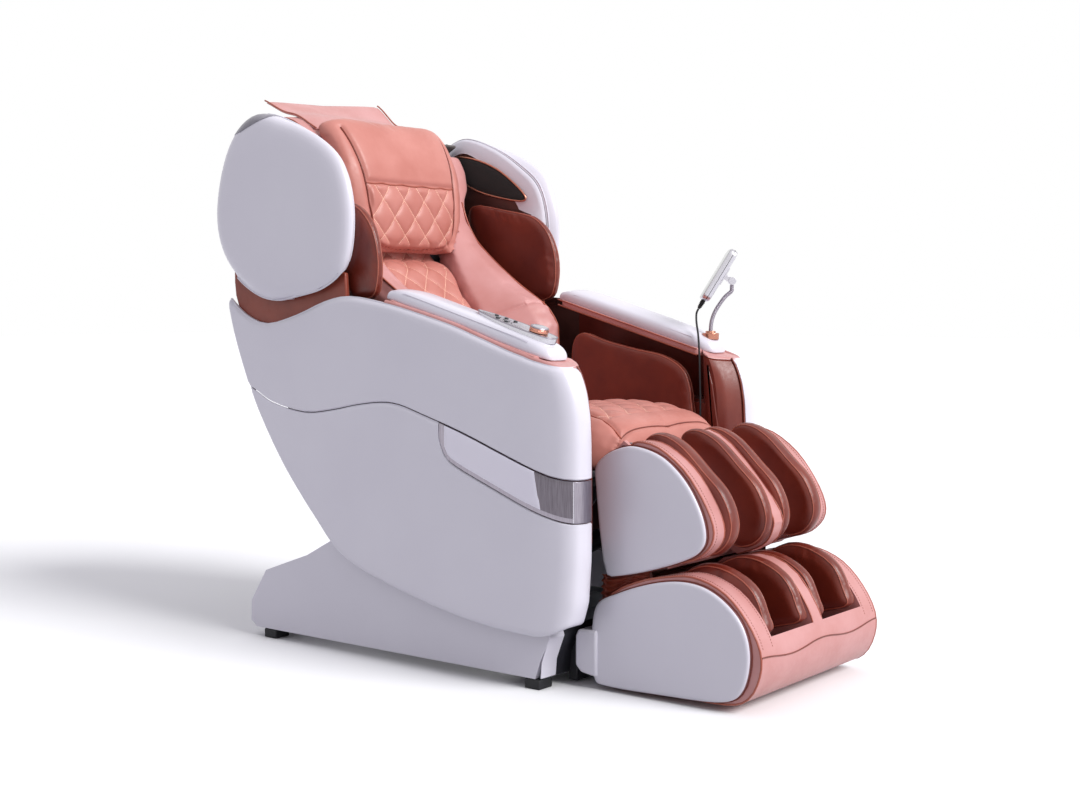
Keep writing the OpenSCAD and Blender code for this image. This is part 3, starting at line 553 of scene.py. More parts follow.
def inflate(obj, voxel, cap):
    """Stuffs a closed pad: a voxel mesh swollen by cloth pressure, no point moving over cap."""
    remesh = obj.modifiers.new("remesh", "REMESH")
    remesh.mode = "VOXEL"
    remesh.voxel_size = voxel * MM
    applied(obj)
    relax(obj, 3)
    rest = [v.co.copy() for v in obj.data.vertices]
    cloth = obj.modifiers.new("cloth", "CLOTH")
    cloth.settings.use_pressure = True
    cloth.settings.uniform_pressure_force = CLOTH_PRESSURE
    cloth.settings.effector_weights.gravity = 0
    cloth.settings.quality = 4
    cloth.point_cache.frame_start = 1
    cloth.point_cache.frame_end = CLOTH_FRAMES
    for step in range(1, CLOTH_FRAMES + 1):
        bpy.context.scene.frame_set(step)
    applied(obj)
    bpy.context.scene.frame_set(1)
    for v, start in zip(obj.data.vertices, rest):
        moved = v.co - start
        if moved.length > cap * MM:
            v.co = start + moved * (cap * MM / moved.length)
    relax(obj, 1)


def relax(obj, times):
    """Smooths obj that many times."""
    bm = bmesh.new()
    bm.from_mesh(obj.data)
    for _ in range(times):
        bmesh.ops.smooth_vert(bm, verts=bm.verts, factor=0.5, use_axis_x=True, use_axis_y=True, use_axis_z=True)
    bm.to_mesh(obj.data)
    bm.free()


def smooth_shaded(obj):
    obj.data.polygons.foreach_set("use_smooth", [True] * len(obj.data.polygons))


def pad(name, bm, material, cad_node, voxel=5, cap=8, hide=True):
    """A stuffed pad made from a closed start shape."""
    obj = mesh_object(name, bm)
    inflate(obj, voxel, cap)
    subdivide(obj)
    applied(obj)
    smooth_shaded(obj)
    finish_piece(obj, material, [cad_node], hide=hide)
    return obj


def mirrored(obj, name):
    """The same pad on the chair's other side."""
    bm = bmesh.new()
    bm.from_mesh(obj.data)
    bmesh.ops.scale(bm, vec=(-1, 1, 1), verts=bm.verts)
    bmesh.ops.recalc_face_normals(bm, faces=bm.faces)
    twin = mesh_object(name, bm)
    smooth_shaded(twin)
    twin.data.materials.append(obj.data.materials[0])
    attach(twin, obj["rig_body"])
    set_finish(twin, obj["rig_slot"])
    return twin


def puffed(outline, x0, x1, inset):
    """Start shape of a pad with that side view, fullest in its middle."""
    rings = []
    for t in (0, 0.05, 0.15, 0.35, 0.65, 0.85, 0.95, 1):
        ring = drawn_in(outline, inset * abs(2 * t - 1) ** 3)
        rings.append([at(mix(x0, x1, t), *q) for q in ring])
    return loft(rings)


def along_line(line, y, z):
    """Length along a side-view line up to its point nearest to (y, z), and the distance to it."""
    best, found, run = 1e9, 0.0, 0.0
    for (ay, az), (by, bz) in zip(line, line[1:]):
        dy, dz = by - ay, bz - az
        length = math.hypot(dy, dz)
        t = max(0.0, min(1.0, ((y - ay) * dy + (z - az) * dz) / (length * length)))
        away = math.hypot(y - ay - t * dy, z - az - t * dz)
        if away < best:
            best, found = away, run + t * length
        run += length
    return found, best


def quilt(obj, line, wide, high, depth, inside, front):
    """Sews diamonds that wide and high into the side of obj that faces front.
    inside says how far a point (across, along) is quilted, from 0 to 1."""
    mesh = obj.data
    marks = mesh.attributes.new("quilt", "FLOAT_VECTOR", "POINT")
    normals = [n.vector.copy() for n in mesh.vertex_normals]
    values = []
    for v, n in zip(mesh.vertices, normals):
        across = v.co.x / MM
        along, _ = along_line(line, *chair_yz(v.co))
        one, other = across / wide + along / high, across / wide - along / high
        share = inside(across, along) if front(n) else 0.0
        if share > 0:
            full = (abs(math.sin(math.pi * one)) * abs(math.sin(math.pi * other))) ** 0.45
            v.co += n * (depth * MM * share * (full - 0.75))
        values.extend((one, other, 1.0 if share > 0.6 else 0.0))
    marks.data.foreach_set("vector", values)
    mesh.update()


def crease(obj, lines, depth, width):
    """Presses a soft valley into obj along lines of points."""
    points = [p for line in lines for p in line]
    reach = width * MM * 2.2
    boxed = [(p.x, p.y, p.z) for p in points]
    low = [min(b[k] for b in boxed) - reach for k in range(3)]
    high = [max(b[k] for b in boxed) + reach for k in range(3)]
    normals = [n.vector.copy() for n in obj.data.vertex_normals]
    for v, n in zip(obj.data.vertices, normals):
        if all(low[k] < v.co[k] < high[k] for k in range(3)):
            away = min((v.co - p).length for p in points)
            if away < reach:
                v.co -= n * (depth * MM * math.exp(-(away / (width * MM)) ** 2))
    obj.data.update()


def surface_of(obj):
    return BVHTree.FromPolygons([v.co for v in obj.data.vertices], [p.vertices for p in obj.data.polygons])


def on_surface(tree, points, lift=0.5, ray=None):
    """Points moved onto a surface and out of it by lift; ray looks for it along a direction."""
    out = []
    for p in points:
        hit = None
        if ray:
            hit, normal, _, _ = tree.ray_cast(p - Vector(ray) * 0.2, Vector(ray))
        if hit is None:
            hit, normal, _, _ = tree.find_nearest(p)
        out.append(hit + normal * lift * MM)
    return out


def mirror_points(points):
    return [Vector((-p.x, p.y, p.z)) for p in points]


def evened(path, passes=8):
    """A line of points with its small jumps taken out, its ends kept."""
    for _ in range(passes):
        path = [path[0]] + [(a + b * 2 + c) / 4 for a, b, c in zip(path, path[1:], path[2:])] + [path[-1]]
    return path


# ---- side-view outlines ----
BODY_TOP = opened([(492, 812), (440, 774), (365, 753), (265, 774), (175, 804), (97, 816), (0, 803), (-86, 785),
                   (-200, 756), (-256, 738), (-310, 720), (-364, 702), (-416, 688), (-467, 679), (-500, 674),
                   (-545, 670)])
BODY_LOW = opened([(-545, 152), (-520, 141), (-480, 124), (-415, 119), (-268, 129), (-90, 163), (108, 222),
                   (200, 300), (309, 420), (393, 543), (434, 626), (471, 715), (493, 790)])
NOSE = [(124, -508), (145, -520), (190, -536), (280, -543), (400, -543), (520, -542), (570, -539), (607, -532),
        (622, -528), (640, -521), (656, -513), (670, -503), (690, -492)]
WRAP_PLAN = opened([(374, -400), (373.6, -430), (371.5, -464), (366.5, -496), (355, -518), (339, -526), (322, -527),
                    (305, -523)], 6)
PANEL_SEAM = opened([(600, 660), (425, 605), (350, 571), (240, 551), (150, 560), (75, 574), (0, 583),
                     (-56, 580), (-119, 563), (-235, 529), (-369, 482), (-468, 450), (-545, 443), (-600, 443)])
BAND_LOW = opened([(-172.9, 552), (-173, 520), (-190, 478), (-225, 454), (-317, 418), (-422, 379), (-494, 360),
                   (-545, 356), (-600, 356)])
SHELL_SIDE = closed([(529, 1010), (508, 1115), (460, 1198), (385, 1238), (290, 1217), (190, 1181), (112, 1124),
                     (78, 1040), (76, 945), (100, 872), (160, 832), (236, 814), (308, 807), (380, 818),
                     (455, 860), (510, 925)], 5)
SHOULDER_FULL = closed([(325, 1058), (200, 1046), (95, 1020), (33, 970), (8, 902), (14, 838), (45, 806),
                        (150, 806), (290, 880), (335, 990)], 4)
# drawn back at its front, so that it clears the sitter's arms
SHOULDER_SIDE = [(y if y > 120 else mix(120, y, 0.75), z) for y, z in SHOULDER_FULL]
HIP_SIDE = closed([(-60, 700), (-92, 731), (-160, 714), (-250, 696), (-340, 678), (-398, 640), (-417, 570),
                   (-405, 500), (-230, 480), (-68, 500), (-58, 600)], 4)
GRILLE_SIDE = closed([(396, 1186), (328, 1180), (252, 1150), (190, 1109), (156, 1076), (170, 1066), (240, 1078),
                      (335, 1106), (388, 1146)], 4)
CALF_SIDE = opened([(-490, 438), (-492, 466), (-522, 492), (-565, 508), (-605, 508), (-660, 490), (-712, 446),
                    (-748, 388), (-760, 338), (-745, 308), (-713, 289), (-654, 267), (-584, 247), (-512, 233)])
CALF_RIM = opened([(-568, 506), (-590, 519), (-640, 510), (-700, 470), (-745, 415), (-771, 362), (-768, 325),
                   (-738, 295), (-700, 281)])
CALF_PAD_SIDE = closed([(-572, 512), (-605, 538), (-660, 521), (-719, 471), (-765, 425), (-790, 370),
                        (-785, 326), (-754, 294), (-706, 292), (-700, 360), (-640, 450)], 4)
FOOT_SIDE = closed([(-497, 165), (-549, 203), (-640, 236), (-717, 248), (-780, 237), (-835, 200), (-863, 155),
                    (-869, 100), (-850, 42), (-800, 18), (-670, 12), (-530, 10), (-497, 30)])
FOOT_RIM = closed([(-520, 178), (-590, 230), (-690, 256), (-750, 256), (-810, 232), (-858, 185), (-888, 130),
                   (-888, 80), (-862, 32), (-810, 14), (-670, 13), (-540, 14), (-512, 40)])
FOOT_PAD_SIDE = closed([(-648, 120), (-655, 232), (-700, 271), (-750, 278), (-800, 264), (-840, 234),
                        (-864, 185), (-869, 152), (-800, 126), (-720, 97)], 4)

# half widths: over the body, inside the head shells, over the calf rest, the foot rest and their pads
X_OUT, SHELL_IN, CALF_X, REST_X, PAD_OUT = 374, 350, 246, 260, 190
# the body's wall, half the gap at its seams, and the pivot of the back
WALL_T, SEAM_HALF, HIP = 7, 0.8, (80, 440)
# the arm pads: from x to x, thickness, slope in degrees, and height where y is 0
ARM_IN, ARM_OUT, ARM_T, ARM_SLOPE, ARM_Z = 262, 358, 31, 16, 817


# ---- body side panels ----
def nose(z):
    return lookup(z, NOSE)


# where the body's front corner starts to turn, and how far forward it runs at its fullest
WRAP_Y, WRAP_REACH, WRAP_STEPS = -400, -138, 30
WRAP_POINTS = spaced(WRAP_PLAN, WRAP_STEPS)
WRAP_COLUMNS = [("wrap", k / WRAP_STEPS) for k in range(WRAP_STEPS + 1)]


def on_wrap(share):
    """A point of the panel's plan round its front corner, and the way it faces there."""
    k = min(max(share, 0), 1) * WRAP_STEPS
    i = min(int(k), WRAP_STEPS - 1)
    (x0, y0), (x1, y1) = WRAP_POINTS[i], WRAP_POINTS[i + 1]
    reach = math.hypot(x1 - x0, y1 - y0)
    return mix(x0, x1, k - i), mix(y0, y1, k - i), (y0 - y1) / reach, (x1 - x0) / reach


def wall_point(s, column, z, depth):
    """A point of the body's side wall, depth under its surface, column being a y or a share of the wrap."""
    kind, value = column
    if kind == "side":
        return at(s * (X_OUT - depth), value, z)
    x, y, face_x, face_y = on_wrap(value)
    swell = (nose(z) - WRAP_Y) / WRAP_REACH
    return at(s * (x - depth * face_x), WRAP_Y + (y - WRAP_Y) * swell - depth * face_y, z)


def column_y(column):
    """The y of a wall's column."""
    kind, value = column
    return value if kind == "side" else on_wrap(value)[1]


def wall_columns(*runs):
    """Columns of a panel at those runs of y, then round the corner."""
    return [("side", y) for run in runs for y in run] + WRAP_COLUMNS


def panel_seam(y):
    return height_on(PANEL_SEAM, y) - SEAM_HALF


# the band: its tail's y, its bevel's width, its insert from y to y, and its corner as a share of the wrap
BAND_TAIL, BAND_MARGIN, BAND_START, INSERT_END, FACET_AT = -171.5, 10, -190, -430, 0.68
# shares of a panel's height, closer together where its edges roll over
ROWS = [0, 0.012, 0.03, 0.06, 0.11] + [0.11 + 0.78 * k / 12 for k in range(1, 12)] + [0.89, 0.94, 0.97, 0.988, 1]


def rolled(away, radius):
    """How far a surface has rolled over at that distance from its edge."""
    if away >= radius:
        return 0.0
    return radius - math.sqrt(max(radius ** 2 - (radius - away) ** 2, 0))


def wall_panel(name, s, columns, low, high, material, cad_node, top_roll, low_roll, wall=WALL_T - 1):
    """A moulded panel of the side wall between the heights low and high, its edges rolled over, dark inside."""
    def place(i, j):
        y = column_y(columns[i])
        z0, z1 = low(y), max(high(y), low(y) + 1)
        z = mix(z0, z1, ROWS[j])
        depth = rolled(z1 - z, top_roll) + rolled(z - z0, low_roll)
        return wall_point(s, columns[i], z, min(depth, wall - 0.5))
    bm = facing(grid(len(columns), len(ROWS), place), (s, 0, 0))
    obj = piece(name, bm, material, cad_node)
    obj.data.materials.append(LINER)
    thicken(obj, wall)
    obj.modifiers["wall"].material_offset = 1
    round_edges(obj, 1.4, 2, 50)


def upper_low(y):
    return max(height_on(PANEL_SEAM, y) + SEAM_HALF, height_on(BODY_LOW, y) if y > 300 else 0)


def lower_high(y):
    """The lower panel's top: the seam behind the silver band, the band's edge under it."""
    if y > BAND_TAIL:
        return panel_seam(y)
    return min(height_on(BAND_LOW, y), height_on(PANEL_SEAM, y)) - SEAM_HALF


def band_edge(y):
    return height_on(BAND_LOW, y) + SEAM_HALF


def side_panels(s, side):
    """The two pearly panels and the silver band between them, with columns close where the band ends."""
    upper = wall_columns(range(492, -399, -9))
    wall_panel(f"upper_panel_{side}", s, upper, upper_low, lambda y: height_on(BODY_TOP, y), PEARL,
               f"side_upper_{side}", 14, 3)
    lower = wall_columns(range(424, -165, -9), (-168, -171, -172.5, -173.5, -176, -180, -185, -191, -200, -212, -224),
                         range(-236, -400, -9))
    wall_panel(f"lower_panel_{side}", s, lower, lambda y: height_on(BODY_LOW, y), lower_high, PEARL,
               f"side_lower_{side}", 3, 9)
    front = wall_columns((-175, -176, -177.5, -180, -184, -190, -198, -208), range(-220, -396, -10))
    wall_panel(f"silver_band_{side}", s, front, band_edge, panel_seam, SILVER, "side_bands", 2, 2, 5)


def wall_column(y):
    """The wall's column at that y, on the flat side or round the wrap."""
    if y >= WRAP_Y:
        return "side", y
    return "wrap", next((k / 100 for k in range(101) if on_wrap(k / 100)[1] <= y), 1)


def band_sheet(name, s, y0, y1, slant, lift, material, slot, columns=28):
    """A sheet on the silver band from y0 to y1, standing off it by lift."""
    rows = 9

    def place(i, j):
        u, v = i / (columns - 1), j / (rows - 1)
        y = mix(y0, y1 - slant * (1 - v), u)
        tuck = 9 * (1 - min((y0 - y) / 14, 1)) ** 2 if y0 == BAND_START else 0
        low = band_edge(y) + BAND_MARGIN + tuck
        high = panel_seam(y) - 1
        return wall_point(s, wall_column(y), mix(low, max(high, low + 2), v), -lift)
    bm = facing(grid(columns, rows, place), (s, 0, 0))
    obj = piece(name, bm, material, "side_bands", slot=slot, hide=False)
    thicken(obj, lift)
    round_edges(obj, 0.5, 2)


def band_insert(s, side):
    """The bare pearly insert and the brushed face of the silver band, both above its bevelled lower edge, and a bead
    of lighter satin along its fold: the real fold with a painted highlight on it.
    """
    band_sheet(f"band_insert_{side}", s, BAND_START, INSERT_END, 16, 1.3, PEARL_LIGHT, "pearl_shell")
    face_end = on_wrap(FACET_AT)[1]
    band_sheet(f"band_face_{side}", s, INSERT_END - 2, face_end, 0, 1.0, BRUSHED, "silver_trim", 14)
    low, high = band_edge(face_end) + 1, height_on(PANEL_SEAM, face_end) - 2
    # a bead of lighter satin metal on the band's fold: partly the real fold, partly a painted highlight along it
    fold_highlight = [wall_point(s, ("wrap", FACET_AT), mix(low, high, k / 12), -0.6) for k in range(13)]
    tubes(f"band_fold_highlight_{side}", [fold_highlight], 1.1, SATIN, "side_bands", slot="silver_trim")


for side_sign, side_name in SIDES:
    side_panels(side_sign, side_name)
    band_insert(side_sign, side_name)


# ---- head shells ----
SHELL_PROFILE = [(350, 0), (356, 0), (366, 0.3), (373, 1.5), (379, 4.5), (384, 9.5), (387.5, 17), (389.8, 28),
                 (391.2, 44), (391.8, 66), (392, 92), (392, 125), (392, 165)]
# how far the front rim is drawn in, and the x from which it is
RIM_TUCK, TUCK_FROM = 24, 379
# the shell's part within this reach of the hip passes the side panel, and stays outside this x
SWEEP_REACH, SWEEP_X = 566, 378.5


def shell_x_at(x, point):
    """Keeps the shell's wall outside the side panel that it sweeps past."""
    y, z = point
    near = math.dist(point, HIP) < SWEEP_REACH and y > 110 and z > 500
    return max(x, SWEEP_X) if near else x


def tucked(share):
    """The shell's outline with its front rim drawn in by that share of a pebble's roll."""
    middle = mean(SHELL_SIDE)
    points = []
    for q in SHELL_SIDE:
        front = 1 - soft_step(q[0], 130, 330)
        points.append(pulled(q, middle, RIM_TUCK * share * front))
    return points


def head_shell(s, side):
    """A shell like a pebble, open inside, with its smoked cap and the fine line inside its rim."""
    node_name = f"head_shell_{side}"
    rings = []
    for x, inset in SHELL_PROFILE:
        outline = drawn_in(tucked(max(0, (TUCK_FROM - x) / (TUCK_FROM - SHELL_IN)) ** 1.6), inset)
        rings.append([at(s * shell_x_at(x, q), *q) for q in outline])
    bm = loft(rings, capped=False)
    end = max(abs(v.co.x) for v in bm.verts) - 1e-5
    bmesh.ops.holes_fill(bm, edges=[e for e in bm.edges
                                    if e.is_boundary and all(abs(v.co.x) > end for v in e.verts)])
    facing(bm, (s, 0, 0))
    obj = piece(f"shell_{side}", bm, PEARL, node_name)
    thicken(obj, 4.5)
    round_edges(obj, 1.5, 2, 60)
    # the cap over the top rear corner is a slice of the shell, just outside it
    over = [(x + (0.8 if k else 0), inset - 0.7) for k, (x, inset) in enumerate(SHELL_PROFILE[:9])]
    cap = loft(domed(SHELL_SIDE, s, over), capped=False)
    for a, b in (((353, 1223), (430, 1197)), ((430, 1197), (520, 1186))):
        slope = Vector((0, a[1] - b[1], b[0] - a[0]))
        bmesh.ops.bisect_plane(cap, geom=cap.verts[:] + cap.edges[:] + cap.faces[:], plane_co=at(0, *a),
                               plane_no=slope, clear_inner=True)
    facing(cap, (s, 0, 0))
    lid = piece(f"shell_cap_{side}", cap, CAP_GREY, node_name, slot="grey_plastic", hide=False)
    thicken(lid, 0.5)
    edge = [at(s * shell_x_at(353.5, q), *q) for q in drawn_in(tucked(0.83), -0.6)]
    tubes(f"shell_edge_{side}", [edge], 1.6, PEARL, node_name, loop=True, slot="pearl_shell")


def rim_width(q):
    """How wide the pearly rim inside a shell is at that point of its outline."""
    front = lookup(q[1], [(900, 9), (990, 10), (1030, 24), (1062, 66), (1110, 70), (1180, 52), (1240, 42)])
    return mix(front, min(front, 34), soft_step(q[0], 300, 420))


def shell_inside(s, side):
    """The pearly rim inside a shell, the brown liner and its oval speaker with a copper edge."""
    inner, middle = tucked(1), mean(SHELL_SIDE)
    rings = []
    for x, share, extra in ((349.5, 0, 1), (344, 0, 4.6), (341, 0.1, 5), (337, 0.75, 5), (335, 1, 5), (338, 1, 6)):
        rings.append([at(s * x, *pulled(q, middle, extra + rim_width(q) * share)) for q in inner])
    rim = loft(rings, capped=False)
    facing(rim, (-s, 0, 0))
    piece(f"shell_rim_{side}", rim, PEARL, "shell_liners", slot="pearl_shell", hide=False)
    liner = plate([pulled(q, middle, 3 + rim_width(q)) for q in inner], s * 338, s * 346)
    obj = piece(f"shell_liner_{side}", liner, LINER, "shell_liners", slot="grey_plastic")
    round_edges(obj, 1.5, 2)
    grille = loft([[at(s * x, *q) for q in drawn_in(GRILLE_SIDE, inset)]
                   for x, inset in ((338, 0), (333.5, 1.5), (331.5, 5), (330.8, 14), (330.5, 30))])
    piece(f"speaker_{side}", grille, GRILLE, "shell_liners", slot="black_plastic", hide=False)
    ring = [at(s * 333, *q) for q in drawn_in(GRILLE_SIDE, -2.5)]
    tubes(f"speaker_ring_{side}", [ring], 2.4, COPPER, "shell_liners", loop=True, slot="copper_trim")


for side_sign, side_name in SIDES:
    head_shell(side_sign, side_name)
    shell_inside(side_sign, side_name)


# ---- seat cushion ----
SEAT_X, SEAT_Z, SEAT_FRONT, SEAT_REAR = 241, 450, -538, -70
SEAT_TOP = [(-538, 26), (-533, 58), (-520, 82), (-490, 101), (-450, 114), (-400, 122), (-324, 126), (-270, 122),
            (-194, 110), (-116, 96), (-90, 88), (-76, 66), (-70, 30)]
SEAT_LINE = [(y, SEAT_Z + h) for y, h in reversed(SEAT_TOP)]
QUILT_WIDE, QUILT_HIGH = 72, 86
# shares of a cushion's half width, closer together at its edges
COLUMNS = [-1, -0.99, -0.96, -0.9, -0.8] + [k / 10 for k in range(-7, 8)] + [0.8, 0.9, 0.96, 0.99, 1]


def seat_half(y):
    """Half the seat's width, narrower in front and pulled in between its corners."""
    share = min(1, max(0, (y + 505) / 40))
    return mix(218, SEAT_X - 1, share) - 6 * math.sin(math.pi * (y - SEAT_FRONT) / (SEAT_REAR - SEAT_FRONT))


def crowned(t):
    """How thick a cushion is at that share of its half width."""
    return max(0, 1 - abs(t) ** 5) ** 0.4


def cushion(stations, columns):
    """Start shape of a cushion lofted through (y, z, normal y, normal z, half width, thickness)."""
    rings = []
    for y, z, ny, nz, half, thick in stations:
        ring = [at(u * half, y + ny * thick * crowned(u), z + nz * thick * crowned(u)) for u in columns]
        back = [at(u * half * 0.97, y + ny * 1.5, z + nz * 1.5) for u in reversed(columns[1:-1])]
        rings.append(ring + back)
    return loft(rings)


def line_stations(line, wide, thick):
    """Stations along a side-view line, with half widths and thicknesses by share of its points."""
    last = len(line) - 1
    out = []
    for i, (y, z) in enumerate(line):
        a, b = line[max(i - 1, 0)], line[min(i + 1, last)]
        length = math.dist(a, b)
        ny, nz = -(b[1] - a[1]) / length, (b[0] - a[0]) / length
        out.append((y, z, ny, nz, lookup(i / last, wide), lookup(i / last, thick)))
    return out


def seat_seam_x(y):
    """Half the width of the seat's quilted middle, which flares towards the front."""
    return lookup(y, [(-540, 188), (-480, 172), (-400, 158), (-200, 150), (-70, 146)])


def seat_cushion():
    """The quilted seat with a seam down each side of its middle and one across its front."""
    ys = [-70, -73, -78, -86] + list(range(-98, -520, -14)) + [-522, -531, -537]
    start = cushion([(y, SEAT_Z, 0, 1, seat_half(y) - 3, lookup(y, SEAT_TOP) - 3) for y in ys], COLUMNS)
    obj = pad("seat", start, QUILTED, "seat_cushion", voxel=6, cap=7)

    def inside(across, along):
        y = SEAT_REAR - along
        middle = 1 - soft_step(abs(across), seat_seam_x(y) - 10, seat_seam_x(y) - 2)
        return middle * soft_step(along, 12, 24) * (1 - soft_step(along, 436, 450))
    quilt(obj, SEAT_LINE, QUILT_WIDE, QUILT_HIGH, 7, inside, lambda n: n.z > 0.15)
    tree = surface_of(obj)
    seams = []
    for s in (1, -1):
        rough = [at(s * seat_seam_x(y), y, 640) for y in range(-80, -516, -6)]
        seams.append(evened(on_surface(tree, rough, 0.2, (0, 0, -1))))
    front = [at(x, -512, 640) for x in range(-204, 205, 6)]
    front_seam = evened(on_surface(tree, front, 0.2, (0, 0, -1)))
    crease(obj, seams + [front_seam], 5, 7)
    tree = surface_of(obj)
    tubes("seat_piping", [evened(on_surface(tree, line, 0.6)) for line in seams], 1.9, PIPING, "seat_cushion")
    tubes("seat_front_piping", [evened(on_surface(tree, front_seam, 0.5))], 1.7, DARK_PIPING, "seat_cushion")


seat_cushion()


# ---- backrest: quilted pad, bolsters, pillow and flap ----
BACK_LINE = opened([(-48, 508), (10, 590), (70, 668), (125, 735), (180, 795), (228, 848), (262, 886), (300, 900),
                    (312, 950), (322, 1030), (338, 1105), (368, 1180)], 4)
# a bolster's sections: z, inner x, y at its inner front, outer front and back, outer x
BOLSTER_LEVELS = [(508, 122, -50, -44, 40, 250), (560, 120, -32, -48, 80, 250), (620, 118, 6, -44, 120, 250),
                  (690, 118, 55, -38, 165, 250), (750, 116, 100, -33, 208, 250), (800, 120, 140, 2, 238, 250),
                  (850, 130, 186, 88, 268, 250), (905, 142, 232, 165, 296, 252), (955, 155, 264, 234, 318, 258),
                  (1010, 168, 306, 292, 334, 270), (1062, 178, 324, 312, 344, 286),
                  (1100, 190, 336, 326, 352, 316), (1150, 202, 354, 345, 368, 324.6),
                  (1192, 208, 374, 368, 384, 322)]
# the inner x, the inner and outer front y and the outer x, each as a table over z
BOLSTER_TABLES = [[(b[0], b[k]) for b in BOLSTER_LEVELS] for k in (1, 2, 3, 5)]


def back_pad():
    """The quilted pad between the bolsters, thinner behind the pillow."""
    rows = len(BACK_LINE) - 1
    wide = [(i / rows, lookup(BACK_LINE[i][1], BOLSTER_TABLES[0]) + 1.5) for i in range(rows + 1)]
    thick = [(0, 10), (0.03, 26), (0.1, 31), (0.48, 31), (0.55, 14), (0.62, 9), (1, 8)]
    start = cushion(line_stations(BACK_LINE, wide, thick), COLUMNS)
    obj = pad("back_quilt", start, QUILTED, "back_pad", voxel=6, cap=5)

    def inside(across, _):
        return 1 - soft_step(abs(across), 104, 114)
    quilt(obj, BACK_LINE, QUILT_WIDE, QUILT_HIGH, 7, inside, lambda n: n.y < 0.2 and n.z > -0.2)


def bolster():
    """One bolster, its mirror twin, their piping and the crease across each."""
    rings = []
    levels = [tuple(mix(p, q, t) for p, q in zip(a, b))
              for a, b in zip(BOLSTER_LEVELS, BOLSTER_LEVELS[1:]) for t in (0, 0.5)] + [BOLSTER_LEVELS[-1]]
    for z, xi, yi, yo, yb, xo in levels:
        xo, rise = xo - 2, 13
        profile = [(xo, yb), (xo + 1, mix(yo, yb, 0.5)), (xo, yo + 14), (xo - 7, yo + 2),
                   (mix(xi, xo, 0.8), mix(yi, yo, 0.87) - rise * 0.75), (mix(xi, xo, 0.6), mix(yi, yo, 0.66) - rise),
                   (mix(xi, xo, 0.4), mix(yi, yo, 0.42) - rise), (mix(xi, xo, 0.2), mix(yi, yo, 0.18) - rise * 0.8),
                   (xi + 3, yi - 2), (xi + 1, yi + 6), (xi + 1, mix(yi, yb, 0.6)), (xi + 1, yb)]
        rings.append([at(x, y, z) for x, y in profile])
    obj = pad("bolster_left_pad", loft(rings), SALMON, "bolster_left", voxel=6, cap=6)
    tree = surface_of(obj)
    fold = on_surface(tree, [at(x, mix(112, 10, (x - 122) / 122), mix(752, 812, (x - 122) / 122))
                             for x in range(122, 246, 4)], 0)
    crease(obj, [fold], 5, 6)
    outer = [(-31, 664), (-26, 714), (-31, 748), (-25, 778), (-4, 796), (66, 836), (138, 881), (187, 923),
             (241, 958), (271, 993), (280, 1068)]
    tree = surface_of(obj)
    edge = evened(on_surface(tree, [at(248, *q) for q in opened(outer, 6)], 0.8))
    tubes("bolster_piping_left", [edge], 2.4, PIPING, "bolster_left")
    tubes("bolster_piping_right", [mirror_points(edge)], 2.4, PIPING, "bolster_right")
    twin = mirrored(obj, "bolster_right_pad")
    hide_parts("bolster_right")


PILLOW_LINE = opened([(292, 915), (294, 925), (298, 960), (303, 1020), (310, 1080), (322, 1130), (345, 1180),
                      (372, 1214), (378, 1222)], 4)
PILLOW_WIDE = [(0, 134), (0.06, 150), (0.12, 170), (0.2, 197), (0.32, 214), (0.55, 218), (0.8, 212), (1, 203)]
PILLOW_FRONT = [(0, 124), (0.06, 136), (0.14, 143), (0.28, 150), (0.55, 158), (0.75, 168), (1, 184)]
# the height of the seam above the quilted panel, and the length that PILLOW_FRONT's shares are of
PILLOW_SEAM_Z, PILLOW_RUN = 1089, 320


def clear_of_bolsters(verts):
    """Keeps the pillow's sides in front of the bolsters that they lie on."""
    for v in verts:
        across, (y, z) = abs(v.co.x) / MM, chair_yz(v.co)
        xi, yi, yo, xo = (lookup(z, table) for table in BOLSTER_TABLES)
        t = min(max((across - xi) / (xo - xi), -1), 1)
        if t > -0.06:
            limit = mix(yi, yo, max(t, 0)) - 12 * math.sin(math.pi * min(max(t, 0) + 0.08, 1)) - 5
            if y > limit:
                v.co.y += (limit - y) * MM


